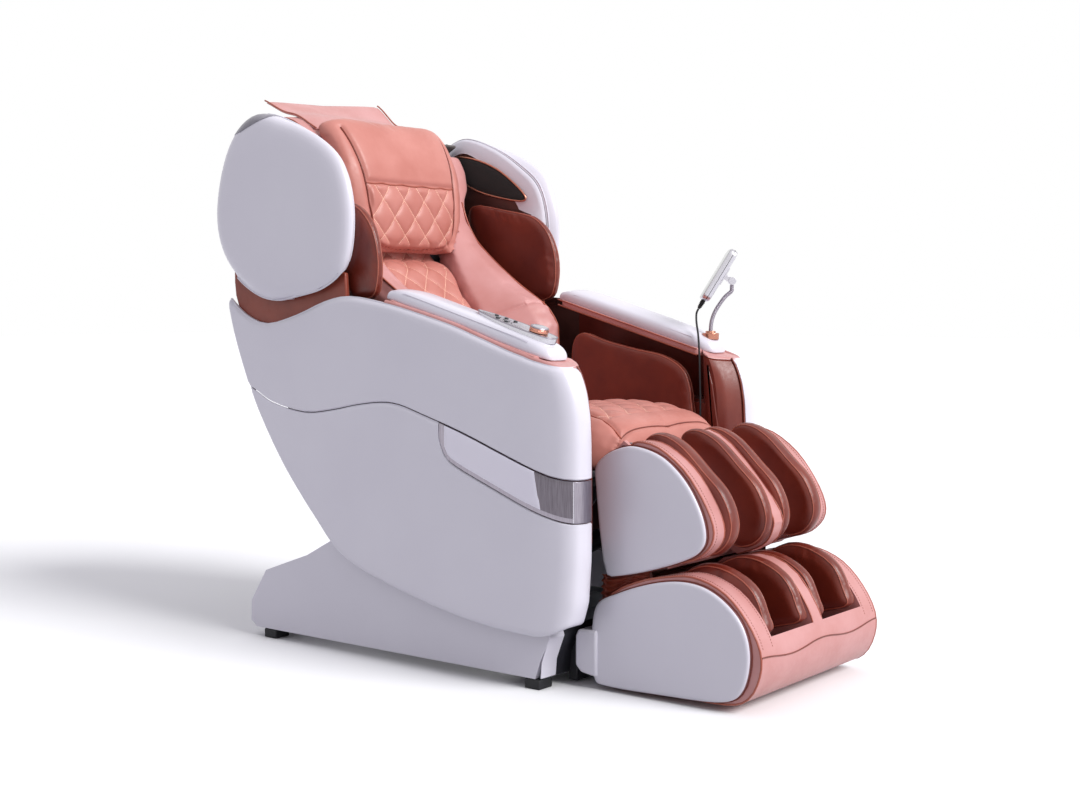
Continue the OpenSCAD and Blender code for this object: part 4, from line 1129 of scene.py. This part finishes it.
def pillow():
    """The head pillow: a plain top, a quilted panel under a seam, and a border seam all round."""
    thick = [(0, 18), (0.05, 44), (0.14, 60), (0.4, 66), (0.6, 64), (0.8, 58), (0.95, 46), (1, 30)]
    start = cushion(line_stations(PILLOW_LINE, PILLOW_WIDE, thick), COLUMNS)
    clear_of_bolsters(start.verts)
    obj = pad("headrest_pillow", start, QUILTED, "pillow", voxel=5, cap=7)
    clear_of_bolsters(obj.data.vertices)
    seam_along, _ = along_line(PILLOW_LINE, 235, PILLOW_SEAM_Z)

    def half(along):
        return lookup(along / PILLOW_RUN, PILLOW_FRONT)

    def inside(across, along):
        side = 1 - soft_step(abs(across), half(along) - 10, half(along) - 3)
        return side * (1 - soft_step(along, seam_along - 9, seam_along - 3)) * soft_step(along, 10, 30)
    quilt(obj, PILLOW_LINE, QUILT_WIDE, QUILT_HIGH, 8, inside, lambda n: n.y < 0.1)
    tree = surface_of(obj)
    seam_half = int(half(seam_along))
    cross = [at(x, 0, PILLOW_SEAM_Z) for x in range(-seam_half, seam_half + 1, 4)]
    cross = evened(on_surface(tree, cross, 0.3, (0, 1, 0)))
    floor = min(chair_yz(v.co)[1] for v in obj.data.vertices)
    side = [(half(along_line(PILLOW_LINE, 300, z)[0]), z) for z in range(1222, int(floor) + 50, -8)]
    corner = [(138, floor + 34), (128, floor + 20), (100, floor + 11), (50, floor + 7), (0, floor + 6)]
    around = opened([(-x, z) for x, z in side + corner] + [(x, z) for x, z in reversed(side + corner[:-1])], 3)
    border = evened(on_surface(tree, [at(x, 0, z) for x, z in around], 0.3, (0, 1, 0)), 20)
    crease(obj, [cross, border], 6, 8)
    tree = surface_of(obj)
    tubes("pillow_seam", [evened(on_surface(tree, cross, 0.7))], 1.8, PIPING, "pillow")
    tubes("pillow_piping", [evened(on_surface(tree, border, 1.0), 20)], 2.1, DARK_PIPING, "pillow")


FLAP_LINE = opened([(376, 1216), (401, 1229), (426, 1243), (452, 1254), (486, 1262), (508, 1268), (556, 1284)], 5)
FLAP_HALF = 199


def flap_lift(point):
    """How far the flap's loose rear edge stands up, more on the left than on the right."""
    y, _ = chair_yz(point)
    u = point.x / (FLAP_HALF * MM)
    return soft_step(y, 470, 560) * (15 + 13 * u + 9 * u * u)


def pillow_flap():
    """The thin padded flap that runs back from the pillow's top."""
    wide = [(0, FLAP_HALF), (0.5, 195), (1, FLAP_HALF)]
    start = cushion(line_stations(FLAP_LINE, wide, [(0, 11), (0.9, 10), (1, 8)]), COLUMNS)
    for v in start.verts:
        v.co.z += flap_lift(v.co) * MM
    obj = piece("pillow_flap_pad", start, SALMON, "pillow_flap")
    subdivide(obj)
    last = len(FLAP_LINE) - 1
    hems = [[at(s * lookup(i / last, wide), y - 3, z + 5) for i, (y, z) in enumerate(FLAP_LINE)] for s in (1, -1)]
    for hem in hems:
        for p in hem:
            p.z += flap_lift(p) * MM
    tubes("flap_piping", hems, 2.0, PIPING, "pillow_flap")


def back_top():
    """The padded top of the back under the flap, wider than it."""
    line = opened([(326, 1172), (369, 1200), (410, 1229), (435, 1240), (465, 1246), (500, 1242), (522, 1230)], 4)
    start = cushion(line_stations(line, [(0, 222), (0.3, 230), (1, 226)], [(0, 10), (1, 10)]), COLUMNS)
    obj = piece("back_top_pad", start, SALMON, "back_pad", hide=False)
    subdivide(obj)
    hems = [[at(s * 228, y - 2, z + 3) for y, z in line] for s in (1, -1)]
    tubes("back_top_piping", hems, 1.8, PIPING, "back_pad")


back_pad()
back_top()
bolster()
pillow()
pillow_flap()


# ---- puffed pads: hips, shoulders, calves and feet ----
def piped(name, outline, x, inset, radius, material, cad_node, tree):
    """Piping round a pad, laid on its surface."""
    path = spaced(drawn_in(outline, inset), 90, loop=True)
    points = on_surface(tree, [at(x, *q) for q in path], 0.4)
    tubes(name, [points], radius, material, cad_node, loop=True)
    return points


def pad_pair(name, outline, x0, x1, inset, cad_node, cap, piping_at, first=True):
    """A puffed pad on the chair's left, its piping, and both again on the right."""
    obj = pad(name + "_left", puffed(outline, x0, x1, inset), MAROON, cad_node, voxel=5, cap=cap, hide=first)
    tree = surface_of(obj)
    for k, x in enumerate(piping_at):
        points = piped(f"{name}_piping_{k}_left", outline, x, inset * 0.55, 1.4, PIPING, cad_node, tree)
        tubes(f"{name}_piping_{k}_right", [mirror_points(points)], 1.4, PIPING, cad_node, loop=True)
    mirrored(obj, name + "_right")


pad_pair("hip_pad", HIP_SIDE, SEAT_X + 3.5, ARM_IN + 1.5, 8, "hip_pads", 3, (SEAT_X + 5, ARM_IN))
pad_pair("shoulder_pad", SHOULDER_SIDE, SHELL_IN - 38, SHELL_IN - 15, 10, "shoulder_pads", 4,
         (SHELL_IN - 36, SHELL_IN - 17))
pad_pair("calf_pad_outer", CALF_PAD_SIDE, 152, PAD_OUT + 1, 10, "calf_pads", 3, (153, 189))
pad_pair("calf_pad_inner", CALF_PAD_SIDE, 21, 53, 10, "calf_pads", 3, (22.5, 52), first=False)
pad_pair("foot_pad_outer", FOOT_PAD_SIDE, 156, PAD_OUT + 1, 9, "foot_pads", 3, (157, 189))
pad_pair("foot_pad_inner", FOOT_PAD_SIDE, 21, 53, 9, "foot_pads", 3, (22.5, 52), first=False)


# ---- armrests ----
ARM_LONG, ARM_BAND_END = 470, -428
SLOPE_COS, SLOPE_SIN = math.cos(math.radians(ARM_SLOPE)), math.sin(math.radians(ARM_SLOPE))


def arm_z(y):
    """The height of the arm pad's underside."""
    return ARM_Z + math.tan(math.radians(ARM_SLOPE)) * y


def on_arm(x, along, h):
    """A point of the arm pad's sloping frame: across, along from its rear end, above its underside."""
    return at(x, -along * SLOPE_COS - h * SLOPE_SIN, ARM_Z - along * SLOPE_SIN + h * SLOPE_COS)


def arm_pad(s, side):
    """The long pad, its top crowned, its rear end tapered and its front end rounded in plan.
    The left one is a little thicker than the right one, which carries the island."""
    profile = [(0.02, -5), (0, 0), (0, 8), (0.02, 15), (0.07, 21), (0.14, 24.5), (0.5, 29.5), (0.84, 28.5),
               (0.93, 24), (0.985, 14), (1, 2), (0.98, -5)]
    rings = []
    for along in (6, 8, 14, 26, 44, 70, 120, 180, 240, 300, 350, 390, 415, 435, 450, 461, 466, ARM_LONG):
        left = max(ARM_LONG - along, 0)
        pull = 1 - math.sqrt(max(1 - (1 - min(left / 64, 1)) ** 2, 0))
        inner = ARM_IN + 30 * pull + 9 * max(0, 1 - along / 46)
        outer = ARM_OUT - 26 * pull - 5 * max(0, 1 - along / 46)
        tall = lookup(along, [(6, 0.5), (26, 0.8), (60, 1), (300, 1), (390, 0.93), (440, 0.82), (ARM_LONG, 0.62)])
        tall *= 1.1 if s > 0 else 0.97
        lean = 0.4 * soft_step(along, 400, ARM_LONG)
        rings.append([on_arm(s * mix(inner, outer, t), along - lean * max(h, 0), h * tall if h > 0 else h)
                      for t, h in profile])
    obj = piece(f"arm_pad_{side}_skin", loft(rings), PEARL, f"arm_pad_{side}", sharp=60)
    round_edges(obj, 1.2, 2, 50)
    subdivide(obj)
    # the line where the top skin meets the pad's sides
    for k, (t, h) in enumerate(((0.045, 18.2), (0.955, 19.5))):
        path = [on_arm(s * mix(ARM_IN, ARM_OUT, t), a, h) for a in range(52, 416, 6)]
        tubes(f"arm_pad_line_{side}_{k}", [path], 0.7, PEARL, f"arm_pad_{side}")


def arm_band(s, side):
    """Leather band under the pad with its piping, and the roll of leather that fills the wall's top."""
    rings = []
    for y in list(range(-12, -418, -22)) + [-418, -424, ARM_BAND_END]:
        end = max(0, -414 - y) / 14
        inner, outer = ARM_IN - 5 + 12 * end ** 2, X_OUT - 9
        top, low = arm_z(y) - 1.5, arm_z(y) - 19
        side_view = ((inner + 2, low), (inner, low + 2), (inner, top - 4), (inner + 1.5, top - 1.5), (inner + 4, top),
                     (outer - 6, top), (outer - 1.5, top - 1.5), (outer, top - 5), (outer, low + 2), (outer - 2, low))
        rings.append([at(s * x, y, z) for x, z in side_view])
    obj = piece(f"arm_band_{side}", loft(rings), SALMON, "arm_bands", hide=s > 0)
    subdivide(obj)
    for k, drop in enumerate((4, 17)):
        path = [at(s * (ARM_IN - 5.5), y, arm_z(y) - drop) for y in range(-12, -422, -6)]
        tubes(f"arm_band_piping_{side}_{k}", [path], 1.8, PIPING, "arm_bands")
    # the roll lies on the panel's top edge and sinks behind it round the corner
    edge = [at(s * (X_OUT - 12), y, height_on(BODY_TOP, y) + 0.8) for y in range(-10, -401, -6)]
    for k in range(2, 89, 3):
        point = wall_point(s, ("wrap", k / 100), height_on(BODY_TOP, on_wrap(k / 100)[1]), 12)
        edge.append(point + Vector((0, 0, (0.8 - 7 * max(0, (k - 25) / 63) ** 1.5) * MM)))
    tubes(f"arm_band_edge_{side}", [edge], 5.5, SALMON, "arm_bands", slot="salmon_leather")


def front_ring(s, drop, inset):
    """A level section of an arm's front, drop under its top."""
    ring = []
    for k in range(13):
        z = height_on(BODY_TOP, on_wrap(k / 12)[1]) + 3 - drop
        ring.append(wall_point(s, ("wrap", k / 12), z, 8 - 5 * max(0, k / 12 - 0.7) / 0.3 + inset))
    x, (y, z) = abs(ring[-1].x) / MM, chair_yz(ring[-1])
    for t in (0.3, 0.65, 1):
        ring.append(at(s * mix(x, ARM_IN - 11 + inset, t), y + 34 * t, z + 4 * t))
    ring.append(at(s * (ARM_IN - 11 + inset), ARM_BAND_END, arm_z(ARM_BAND_END) - drop))
    return ring


def arm_front(s, side):
    """The leather front of the arm inside the wall's corner, its inner face set back, and its piping."""
    low = [front_ring(s, drop, 0) for drop in (372, 300, 200, 130, 90, 60, 30, 8)] + [front_ring(s, 7, 5)]
    obj = piece(f"arm_front_{side}", loft(low), MAROON, "arm_inners", hide=s > 0)
    subdivide(obj)
    top = [front_ring(s, drop, inset) for drop, inset in ((9, 3), (8, 0.5), (4, 0.8), (1.2, 3), (0, 8))]
    subdivide(piece(f"arm_front_top_{side}", loft(top), SALMON, "arm_bands", hide=False))
    front = [wall_point(s, ("wrap", 1), z, 3) + Vector((-s * 3 * MM, 0, 0)) for z in range(672, 300, -12)]
    tubes(f"arm_front_piping_{side}", [front], 1.8, TAN, "arm_inners", slot="tan_leather")


# the middle of the island, its plan, its knob and its buttons, across and along the slope
ISLAND_Y, ISLAND_X = -325, 310
ISLAND_PLAN = closed([(0, 106), (-20, 60), (-26, 0), (-26, -70), (-16, -100), (10, -104), (25, -80), (27, 0),
                      (18, 60)], 5)
KNOB_Y, KNOB_R = -62, 20.5
BUTTONS = [(-9, 62), (-13, 38), (-15, 14), (9, 44), (12, 18)]
ACROSS, AHEAD, UP = Vector((1, 0, 0)), Vector((0, SLOPE_COS, SLOPE_SIN)), Vector((0, -SLOPE_SIN, SLOPE_COS))


def on_island(u, v, h):
    """A point of the control island's own frame, h above its top."""
    lift = ARM_T + 4 + h
    y = ISLAND_Y + v * SLOPE_COS - lift * SLOPE_SIN
    return at(-(ISLAND_X + u), y, arm_z(ISLAND_Y) + v * SLOPE_SIN + lift * SLOPE_COS)


def island_ring(grow, h):
    """The island's outline, grown and lifted."""
    c = mean(ISLAND_PLAN)
    return [on_island(*(q[k] + grow * (q[k] - c[k]) / math.dist(q, c) for k in (0, 1)), h) for q in ISLAND_PLAN]


def island():
    """The dished plate with its rim and a short generic mark beside each button."""
    rings = [island_ring(*ring) for ring in ((0, -13), (0, -1.4), (-0.8, -0.4), (-2, 0), (-3.5, -0.6), (-14, -0.6))]
    piece("control_island_plate", loft(rings), SATIN, "control_island")
    tubes("island_rim", [island_ring(0.6, -0.8)], 1.3, SILVER, "control_island", loop=True)
    marks = []
    for start, end, offset in (((-8, 52), (-12, 2), 8), ((14, 34), (16, 2), -8)):
        for k in range(4):
            u, v = (mix(a, b, (k + 0.5) / 4) for a, b in zip(start, end))
            marks.append([on_island(u + offset - 2.2, v, -0.3), on_island(u + offset + 2.2, v, -0.3)])
    tubes("island_marks", marks, 0.7, BLACK, "control_island", slot="black_plastic", sides=1)


def turned(profile, steps, origin):
    """A turned shape: rings of (radius, height) about the axis that stands on the slope at origin."""
    rings = []
    for radius, height in profile:
        angles = [2 * math.pi * k / steps for k in range(steps)]
        rings.append([origin + (ACROSS * math.cos(a) + AHEAD * math.sin(a)) * radius * MM + UP * height * MM
                      for a in angles])
    return loft(rings)


def knob():
    """A copper ring cut in facets, with a bright rim and a satin top."""
    r, origin = KNOB_R, on_island(0, KNOB_Y, 0.3)
    ring = turned([(r - 1.5, 0), (r, 0.8), (r - 0.6, 4.5), (r, 8.4), (r - 1.6, 9.6)], 22, origin)
    obj = mesh_object("knob_ring", ring, sharp=8)
    obj.data.polygons.foreach_set("use_smooth", [False] * len(obj.data.polygons))
    finish_piece(obj, COPPER, ["knob"])
    rim = turned([(r - 1, 9.2), (r - 0.6, 10.6), (r - 1.8, 11.8), (r - 3.2, 11.6)], 48, origin)
    piece("knob_rim", rim, SILVER, "knob", slot="silver_trim", hide=False)
    top = turned([(r - 3.4, 11), (r - 3.6, 12.4), (r - 5, 12.9), (6, 13.2)], 48, origin)
    piece("knob_top", top, SATIN, "knob", slot="silver_trim", hide=False)


def buttons():
    for k, (u, v) in enumerate(BUTTONS, 1):
        cap = turned([(4.4, -7.5), (4.5, 0.8), (4.1, 1.4), (2.8, 1.7)], 24, on_island(u, v, 0))
        piece(f"button_{k}_cap", cap, BLACK, f"button_{k}")


for side_sign, side_name in SIDES:
    arm_pad(side_sign, side_name)
    arm_band(side_sign, side_name)
    arm_front(side_sign, side_name)
island()
knob()
buttons()
inner_walls = rounded_copy("arm_inners", MAROON, 9, 5)
# their front edges lean back towards the seat
for v in inner_walls.data.vertices:
    away, (y, z) = abs(v.co.x) / MM, chair_yz(v.co)
    if y < -455:
        v.co.y += 40 * MM * min(max((306 - away) / 46, 0), 1) * soft_step(-y, 455, 495)


# ---- calf rest and foot rest ----
STITCH_PITCH, STITCH_LONG, PLEATS = 6, 3.4, 5


def cover(name, outline, x_rim, x_out, cad_node):
    """A domed side cover, rounded over at its rim, for both sides."""
    bulge = x_out - x_rim
    profile = [(x_rim - 12 + bulge, 0), (x_rim, 0)]
    profile += [(x_rim + bulge * math.sin(a), 9 * (1 - math.cos(a))) for a in (0.35, 0.7, 1.05, 1.35)]
    profile += [(x_out - 0.15, 16), (x_out, 30), (x_out, 60), (x_out, 95)]
    for s, side in SIDES:
        bm = loft(domed(outline, s, profile))
        obj = piece(f"{name}_{side}", bm, PEARL, cad_node, hide=s > 0)
        subdivide(obj)


def edge_line(outline, x, inset=0.0):
    """An outline's line at x on both sides."""
    return [[at(s * x, *q) for q in drawn_in(outline, inset)] for s in (1, -1)]


def stitches(name, paths, cad_node):
    """Thread along paths: short stitches, evenly spaced."""
    runs = []
    for path in paths:
        total = sum((b - a).length for a, b in zip(path, path[1:]))
        steps = spaced([tuple(p) for p in path], int(total / (STITCH_PITCH * MM)) * 2)
        for k in range(0, len(steps) - 1, 2):
            a, b = Vector(steps[k]), Vector(steps[k + 1])
            if (b - a).length > 1e-6:
                runs.append([a, a + (b - a).normalized() * STITCH_LONG * MM])
    tubes(name, runs, 0.55, THREAD, cad_node, sides=0)


def calf_rest():
    """The calf rest's leather shell, its covers, its piping along every rim and its row of stitches."""
    rounded_copy("calf_shell", SALMON, 5, 3)
    cover("calf_cover", CALF_SIDE, CALF_X - 5, CALF_X, "calf_covers")
    rim_out, rim_in = edge_line(CALF_RIM, CALF_X - 13, 1), edge_line(CALF_RIM, PAD_OUT + 3, 1)
    tubes("calf_rim_piping", rim_out + rim_in, 2.2, PIPING, "calf_shell")
    tubes("calf_cover_piping", edge_line(CALF_SIDE, CALF_X - 11.5, -0.8), 1.5, DARK_PIPING, "calf_covers")
    stitches("calf_rim_stitches", edge_line(CALF_RIM, CALF_X - 24, -0.6), "calf_shell")
    divider = opened([(-575, 512), (-605, 528), (-660, 500), (-730, 430), (-780, 365), (-783, 330), (-760, 297),
                      (-700, 272)], 4)
    tubes("calf_divider_piping", edge_line(divider, 19, 0.5), 1.8, PIPING, "calf_shell")
    rounded_copy("calf_back", width=2)


def foot_rest():
    """The foot rest's leather shell, its covers, piping, stitches and front seam, and its rear housing."""
    shell = surface_of(rounded_copy("foot_shell", SALMON, 6, 4))
    rim_x = REST_X - 13
    cover("foot_cover", FOOT_SIDE, REST_X - 5, REST_X, "foot_covers")
    tubes("foot_rim_piping", edge_line(FOOT_RIM, rim_x, 1), 2.2, PIPING, "foot_shell", loop=True)
    tubes("foot_cover_piping", edge_line(FOOT_SIDE, REST_X - 11.5, -0.8), 1.5, DARK_PIPING, "foot_covers", loop=True)
    top = [q for q in FOOT_RIM if q[1] > 125 and q[0] < -560]
    top.sort(key=lambda q: -q[0])
    lines = [[at(s * x, *q) for q in drawn_in(top, -0.5)] for s in (1, -1) for x in (REST_X - 24, PAD_OUT + 9)]
    stitches("foot_rim_stitches", lines, "foot_shell")
    rough = [at(x, -960, 112 + 5 * math.cos(math.pi * x / 123)) for x in range(-rim_x, rim_x + 1, 6)]
    tubes("foot_front_seam", [evened(on_surface(shell, rough, 0.6, (0, 1, 0)), 3)], 1.6, DARK_PIPING, "foot_shell")
    housing = plate([(-456, 46), (-456, 108), (-463, 122), (-510, 124), (-510, 26), (-470, 32)], -266, 266)
    round_edges(piece("foot_back_housing", housing, PEARL, "foot_covers", hide=False), 5, 3)
    divider = opened([(-640, 240), (-700, 268), (-765, 268), (-822, 238), (-868, 175), (-886, 125)], 4)
    tubes("foot_divider_piping", edge_line(divider, 19, 0.5), 1.8, PIPING, "foot_shell")


def bellows():
    """Pleated leather between the calf rest and the foot rest, a rear wall and two flanks."""
    top = spaced([(-504, 238), (-530, 236), (-560, 241), (-590, 249), (-622, 258)], 40)
    low = spaced([(-500, 168), (-530, 186), (-560, 206), (-590, 222), (-622, 238)], 40)
    half, columns, rows = 236, 65, PLEATS * 6 + 1

    def rear_place(i, j):
        u, t = i / (columns - 1), j / (rows - 1)
        y = -506 - 9 * abs(math.sin(math.pi * PLEATS * t)) * (0.8 + 0.2 * math.sin(9 * u))
        return at(mix(-half, half, u), y, mix(236, 170, t))

    def flank_place(s, i, j):
        u, t = i / 40, j / (rows - 1)
        (y0, z0), (y1, z1) = top[i], low[i]
        fold = 8 * abs(math.sin(math.pi * PLEATS * t + 0.9 * math.sin(4 * u)))
        sag = 2.2 * math.sin(11 * u + 3 * t) * math.sin(math.pi * t)
        return at(s * (half + 2 - fold * (1 - 0.5 * u)), mix(y0, y1, t), mix(z0, z1, t) + sag)
    walls = [("rear", facing(grid(columns, rows, rear_place), (0, 1, 0)))]
    for s, side in SIDES:
        walls.append((side, facing(grid(41, rows, lambda i, j: flank_place(s, i, j)), (s, 0, 0))))
    for name, bm in walls:
        obj = mesh_object(f"bellows_{name}", bm)
        thicken(obj, 1.2)
        applied(obj)
        obj.data.materials.append(TAN)
        smooth_shaded(obj)
        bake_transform(obj)
        if name == "rear":
            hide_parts("bellows")
        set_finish(obj, "tan_leather")


calf_rest()
foot_rest()
bellows()


CABLE_ROUTE = [(297.6, -399.1, 787.2), (294, -396, 777), (288, -399, 764), (279, -406, 750), (269, -415, 736),
               (261, -422, 722), (255.5, -427, 706), (252.5, -430, 688), (251, -432, 664), (251, -433, 634),
               (251, -434, 604), (251, -435, 574), (251, -435, 544), (251, -435, 520), (251, -435, 502)]
CABLE_LENGTH, CABLE_D = 0.303, 0.0048
# the handset's turn and lean in degrees, its size, its middle above the neck and its back's distance from it
NECK_TOP, NECK_R, REMOTE_TURN, REMOTE_LEAN = (346, -461, 852), 4.6, 38, 31
REMOTE_L, REMOTE_W, REMOTE_T, REMOTE_MID, REMOTE_BACK = 137, 74, 20, -5, 24


def remote_point(x, y, z):
    """A point of the handset's frame: across it, out of its screen, along it."""
    lean, turn = math.radians(REMOTE_LEAN), math.radians(REMOTE_TURN)
    y, z = y * math.cos(lean) - z * math.sin(lean), y * math.sin(lean) + z * math.cos(lean)
    x, y = x * math.cos(turn) - y * math.sin(turn), x * math.sin(turn) + y * math.cos(turn)
    return at(NECK_TOP[0] + x, NECK_TOP[1] + y, NECK_TOP[2] + z)


def slab_ring(half_w, half_l, corner, y):
    """A rounded rectangle of the handset's frame."""
    ring = []
    for cx, cz, start in ((1, 1, 0), (-1, 1, 90), (-1, -1, 180), (1, -1, 270)):
        for k in range(7):
            a = math.radians(start + 90 * k / 6)
            ring.append(remote_point(cx * (half_w - corner) + corner * math.cos(a), y,
                                     REMOTE_MID + cz * (half_l - corner) + corner * math.sin(a)))
    return ring


def handset():
    """The satin case, its bare dark screen and the fine seam round its sides."""
    half_w, half_l, back, face = REMOTE_W / 2, REMOTE_L / 2, REMOTE_BACK, REMOTE_BACK + REMOTE_T
    body = loft([slab_ring(half_w - d, half_l - d, corner, y) for d, corner, y in (
        (5, 12, back), (1.6, 15, back + 1.6), (0, 16, back + 6), (0, 16, face - 5), (1, 15.4, face - 2),
        (3.4, 13, face - 0.4))])
    piece("handset_case", body, SATIN, "remote_handset")
    glass = loft([slab_ring(half_w - d, half_l - d, corner, y) for d, corner, y in (
        (4, 12.4, face - 1), (4, 12.4, face - 0.1), (4.8, 11.6, face))])
    piece("handset_screen", glass, GLASS, "remote_handset", slot="black_plastic", hide=False)
    seam = slab_ring(half_w + 0.1, half_l + 0.1, 16, back + 9)
    tubes("handset_seam", [seam], 0.6, BLACK, "remote_handset", loop=True, slot="black_plastic")


def neck():
    """The gooseneck: a bent tube with a ring at every turn of its spiral."""
    base_z = arm_z(-424) + ARM_T - 2
    top = Vector(NECK_TOP)
    route = opened([(312, -424, base_z), (313, -425, base_z + 28), (320, -431, 780), (334, -447, 812),
                    tuple(top - Vector((1, -1, 24))), tuple(top - Vector((0.3, -0.3, 16))),
                    tuple(top - Vector((0, 0, 9)))], 12)
    obj = tubes("gooseneck_tube", [[at(*p) for p in route]], NECK_R, SILVER, "gooseneck", sides=6)
    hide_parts("gooseneck")
    rings = spaced(route, 44)
    beads = []
    for a, b in zip(rings, rings[1:]):
        middle = [mix(u, v, 0.5) for u, v in zip(a, b)]
        ahead = Vector(b) - Vector(a)
        side = ahead.cross(Vector((1, 0, 0))).normalized()
        up = ahead.cross(side).normalized()
        beads.append([at(*(Vector(middle) + (side * math.cos(t) + up * math.sin(t)) * NECK_R))
                      for t in [2 * math.pi * k / 16 for k in range(16)]])
    tubes("gooseneck_rings", beads, 0.55, SILVER, "gooseneck", loop=True, sides=1)


def relief():
    """Ribbed strain relief under the handset."""
    low = REMOTE_MID - REMOTE_L / 2 - 22
    profile = [(3.2, 0), (3.6, 0.6)]
    for z in (3.5, 7.5, 11.5, 15.5):
        groove, rib = 3.7 + z * 0.09, 4.8 + z * 0.08
        profile += [(groove, z), (rib, z + 0.5), (rib, z + 2.2), (groove + 0.1, z + 2.7)]
    profile.append((5.6, 22))
    rings = [[remote_point(r * math.cos(a), REMOTE_BACK + REMOTE_T / 2 + r * math.sin(a), low + h)
              for a in [2 * math.pi * k / 24 for k in range(24)]] for r, h in profile]
    return piece("relief_ribs", loft(rings), RUBBER, "cable_relief", sharp=30)


def cable(relief_piece):
    """The handset's cable, which goes down beside the seat."""
    path = [at(*p) for p in opened(CABLE_ROUTE, 4)]
    obj = round_line("handset_cable", [path], CABLE_D / 2 / MM, 4)
    obj.data.materials.append(BY_SLOT["cable_jacket"])
    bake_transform(obj)
    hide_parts("remote_cable")
    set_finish(obj, "cable_jacket")


handset()
neck()
cable(relief())
rounded_copy("remote_cradle", SATIN, 1.0, 2)
rounded_copy("remote_escutcheon", COPPER, 1.2, 3)


# ---- base, rear and frames ----
SKIRT_X = X_OUT - 34
SKIRT_FRONT = [(-442, 127), (-447, 112), (-427, 60), (-424, 24)]


def rear_cover():
    """Stretched rear fabric with side welts and two seams."""
    line = opened([(398, 1222), (458, 1180), (500, 1105), (513, 1010), (503, 930), (480, 860), (455, 770),
                   (420, 690), (372, 600), (322, 520), (280, 462)], 5)
    half = SHELL_IN - 19
    columns = 25

    def place(i, j):
        u = 2 * i / (columns - 1) - 1
        y, z = line[j]
        return at(u * half, y - 5 * abs(u) ** 6, z)
    obj = piece("rear_cover_cloth", facing(grid(columns, len(line), place), (0, 1, 0)), FABRIC, "rear_cover")
    thicken(obj, 7)
    round_edges(obj, 1.5, 2, 50)
    welts = [[at(s * x, y + 0.6, z) for y, z in line] for s in (1, -1) for x in (half - 26, 118)]
    tubes("rear_cover_welts", welts, 2.0, BLACK, "rear_cover", slot="rear_fabric")


def base_front():
    """The skirt's returned front edges and the black plate between them."""
    outline = SKIRT_FRONT + [(y + 3, z) for y, z in reversed(SKIRT_FRONT)]
    for s, side in SIDES:
        edge = plate(outline, s * 289, s * (SKIRT_X - 1))
        round_edges(piece(f"skirt_return_{side}", edge, PEARL, "base_skirt", hide=False), 1.4, 3)
    behind = plate([(y + 0.5, z) for y, z in outline], -288, 288)
    piece("base_front_plate", behind, BLACK, "base_front_cover", hide=False)


rear_cover()
base_front()
for cad_name, width in (("base_skirt", 4), ("base_front_cover", 2), ("feet", 2.5), ("power_box", 1.2),
                        ("power_switch", 0.8), ("lower_rear_cover", 1.5), ("side_fairings", 3), ("seat_frame", 1.5),
                        ("base_frame", 3), ("slide_carriage", 1.5), ("air_pump", 2), ("back_frame", 1.5)):
    rounded_copy(cad_name, width=width)

# every CAD node that still shows takes its slot's material
for cad_name, cad_object in frame["nodes"].items():
    if not cad_object.hide_render:
        cad_object.data.materials.clear()
        cad_object.data.materials.append(BY_SLOT[SLOTS[cad_name]])


# ---- floor, light and view ----
# the way to the bright side of the studio, and the strengths of its light on both sides
BACKDROP_WAY, DIM_SIDE, BRIGHT_SIDE = (0.787, 0.617, 0), 0.34, 1.0


def seen_directly(tree):
    """1 for what the camera, a mirror or a glass looks at, 0 for light on its way to the object."""
    path = node(tree, "LightPath")
    seen = maths(tree, "MAXIMUM", path.outputs["Is Camera Ray"], path.outputs["Is Glossy Ray"])
    return maths(tree, "MAXIMUM", seen, path.outputs["Is Transmission Ray"])


def studio_floor():
    """A wide pale floor that is a white sweep to the eye and a softer grey to the light that it throws back."""
    bm = bmesh.new()
    bmesh.ops.create_grid(bm, x_segments=2, y_segments=2, size=30)
    floor = mesh_object("studio_floor", bm)
    made, tree, principled = new_material("pale_studio_floor", Roughness=0.8, Specular_IOR_Level=0.0)
    clouds = noise_at(tree, object_place(tree), 900, 2.0)
    pale = mix_colours(tree, clouds, "#fafafc", "#ffffff")
    tree.links.new(mix_colours(tree, seen_directly(tree), "#c2c2c6", pale), principled.inputs["Base Color"])
    floor.data.materials.append(made)
    floor.location.z = -0.0005


def studio_world():
    """White to the eye, and a soft light that is brighter on the far side than behind the viewer."""
    made = bpy.data.worlds.new("studio")
    made.use_nodes = True
    tree = made.node_tree
    where = node(tree, "TexCoord").outputs["Generated"]
    toward = node(tree, "VectorMath", {0: where, 1: BACKDROP_WAY}, operation="DOT_PRODUCT").outputs["Value"]
    light = spread(tree, toward, DIM_SIDE, BRIGHT_SIDE, -1, 1)
    seen = seen_directly(tree)
    back = tree.nodes["Background"]
    tree.links.new(mix_colours(tree, seen, "#f4f3fa", "#ffffff"), back.inputs["Color"])
    tree.links.new(maths(tree, "MAXIMUM", light, seen), back.inputs["Strength"])
    bpy.context.scene.world = made


def window_light(name, way, power, softness):
    """A broad soft light from one direction, as from a tall window."""
    data = bpy.data.lights.new(name, "SUN")
    data.energy = power
    data.angle = math.radians(softness)
    lamp = bpy.data.objects.new(name, data)
    lamp.rotation_euler = (-Vector(way)).to_track_quat("-Z", "Y").to_euler()
    bpy.context.scene.collection.objects.link(lamp)


studio_floor()
studio_world()
window_light("front_window", (0.05, -0.8, 0.6), 3.0, 30)
bpy.context.scene.view_settings.view_transform = "Standard"
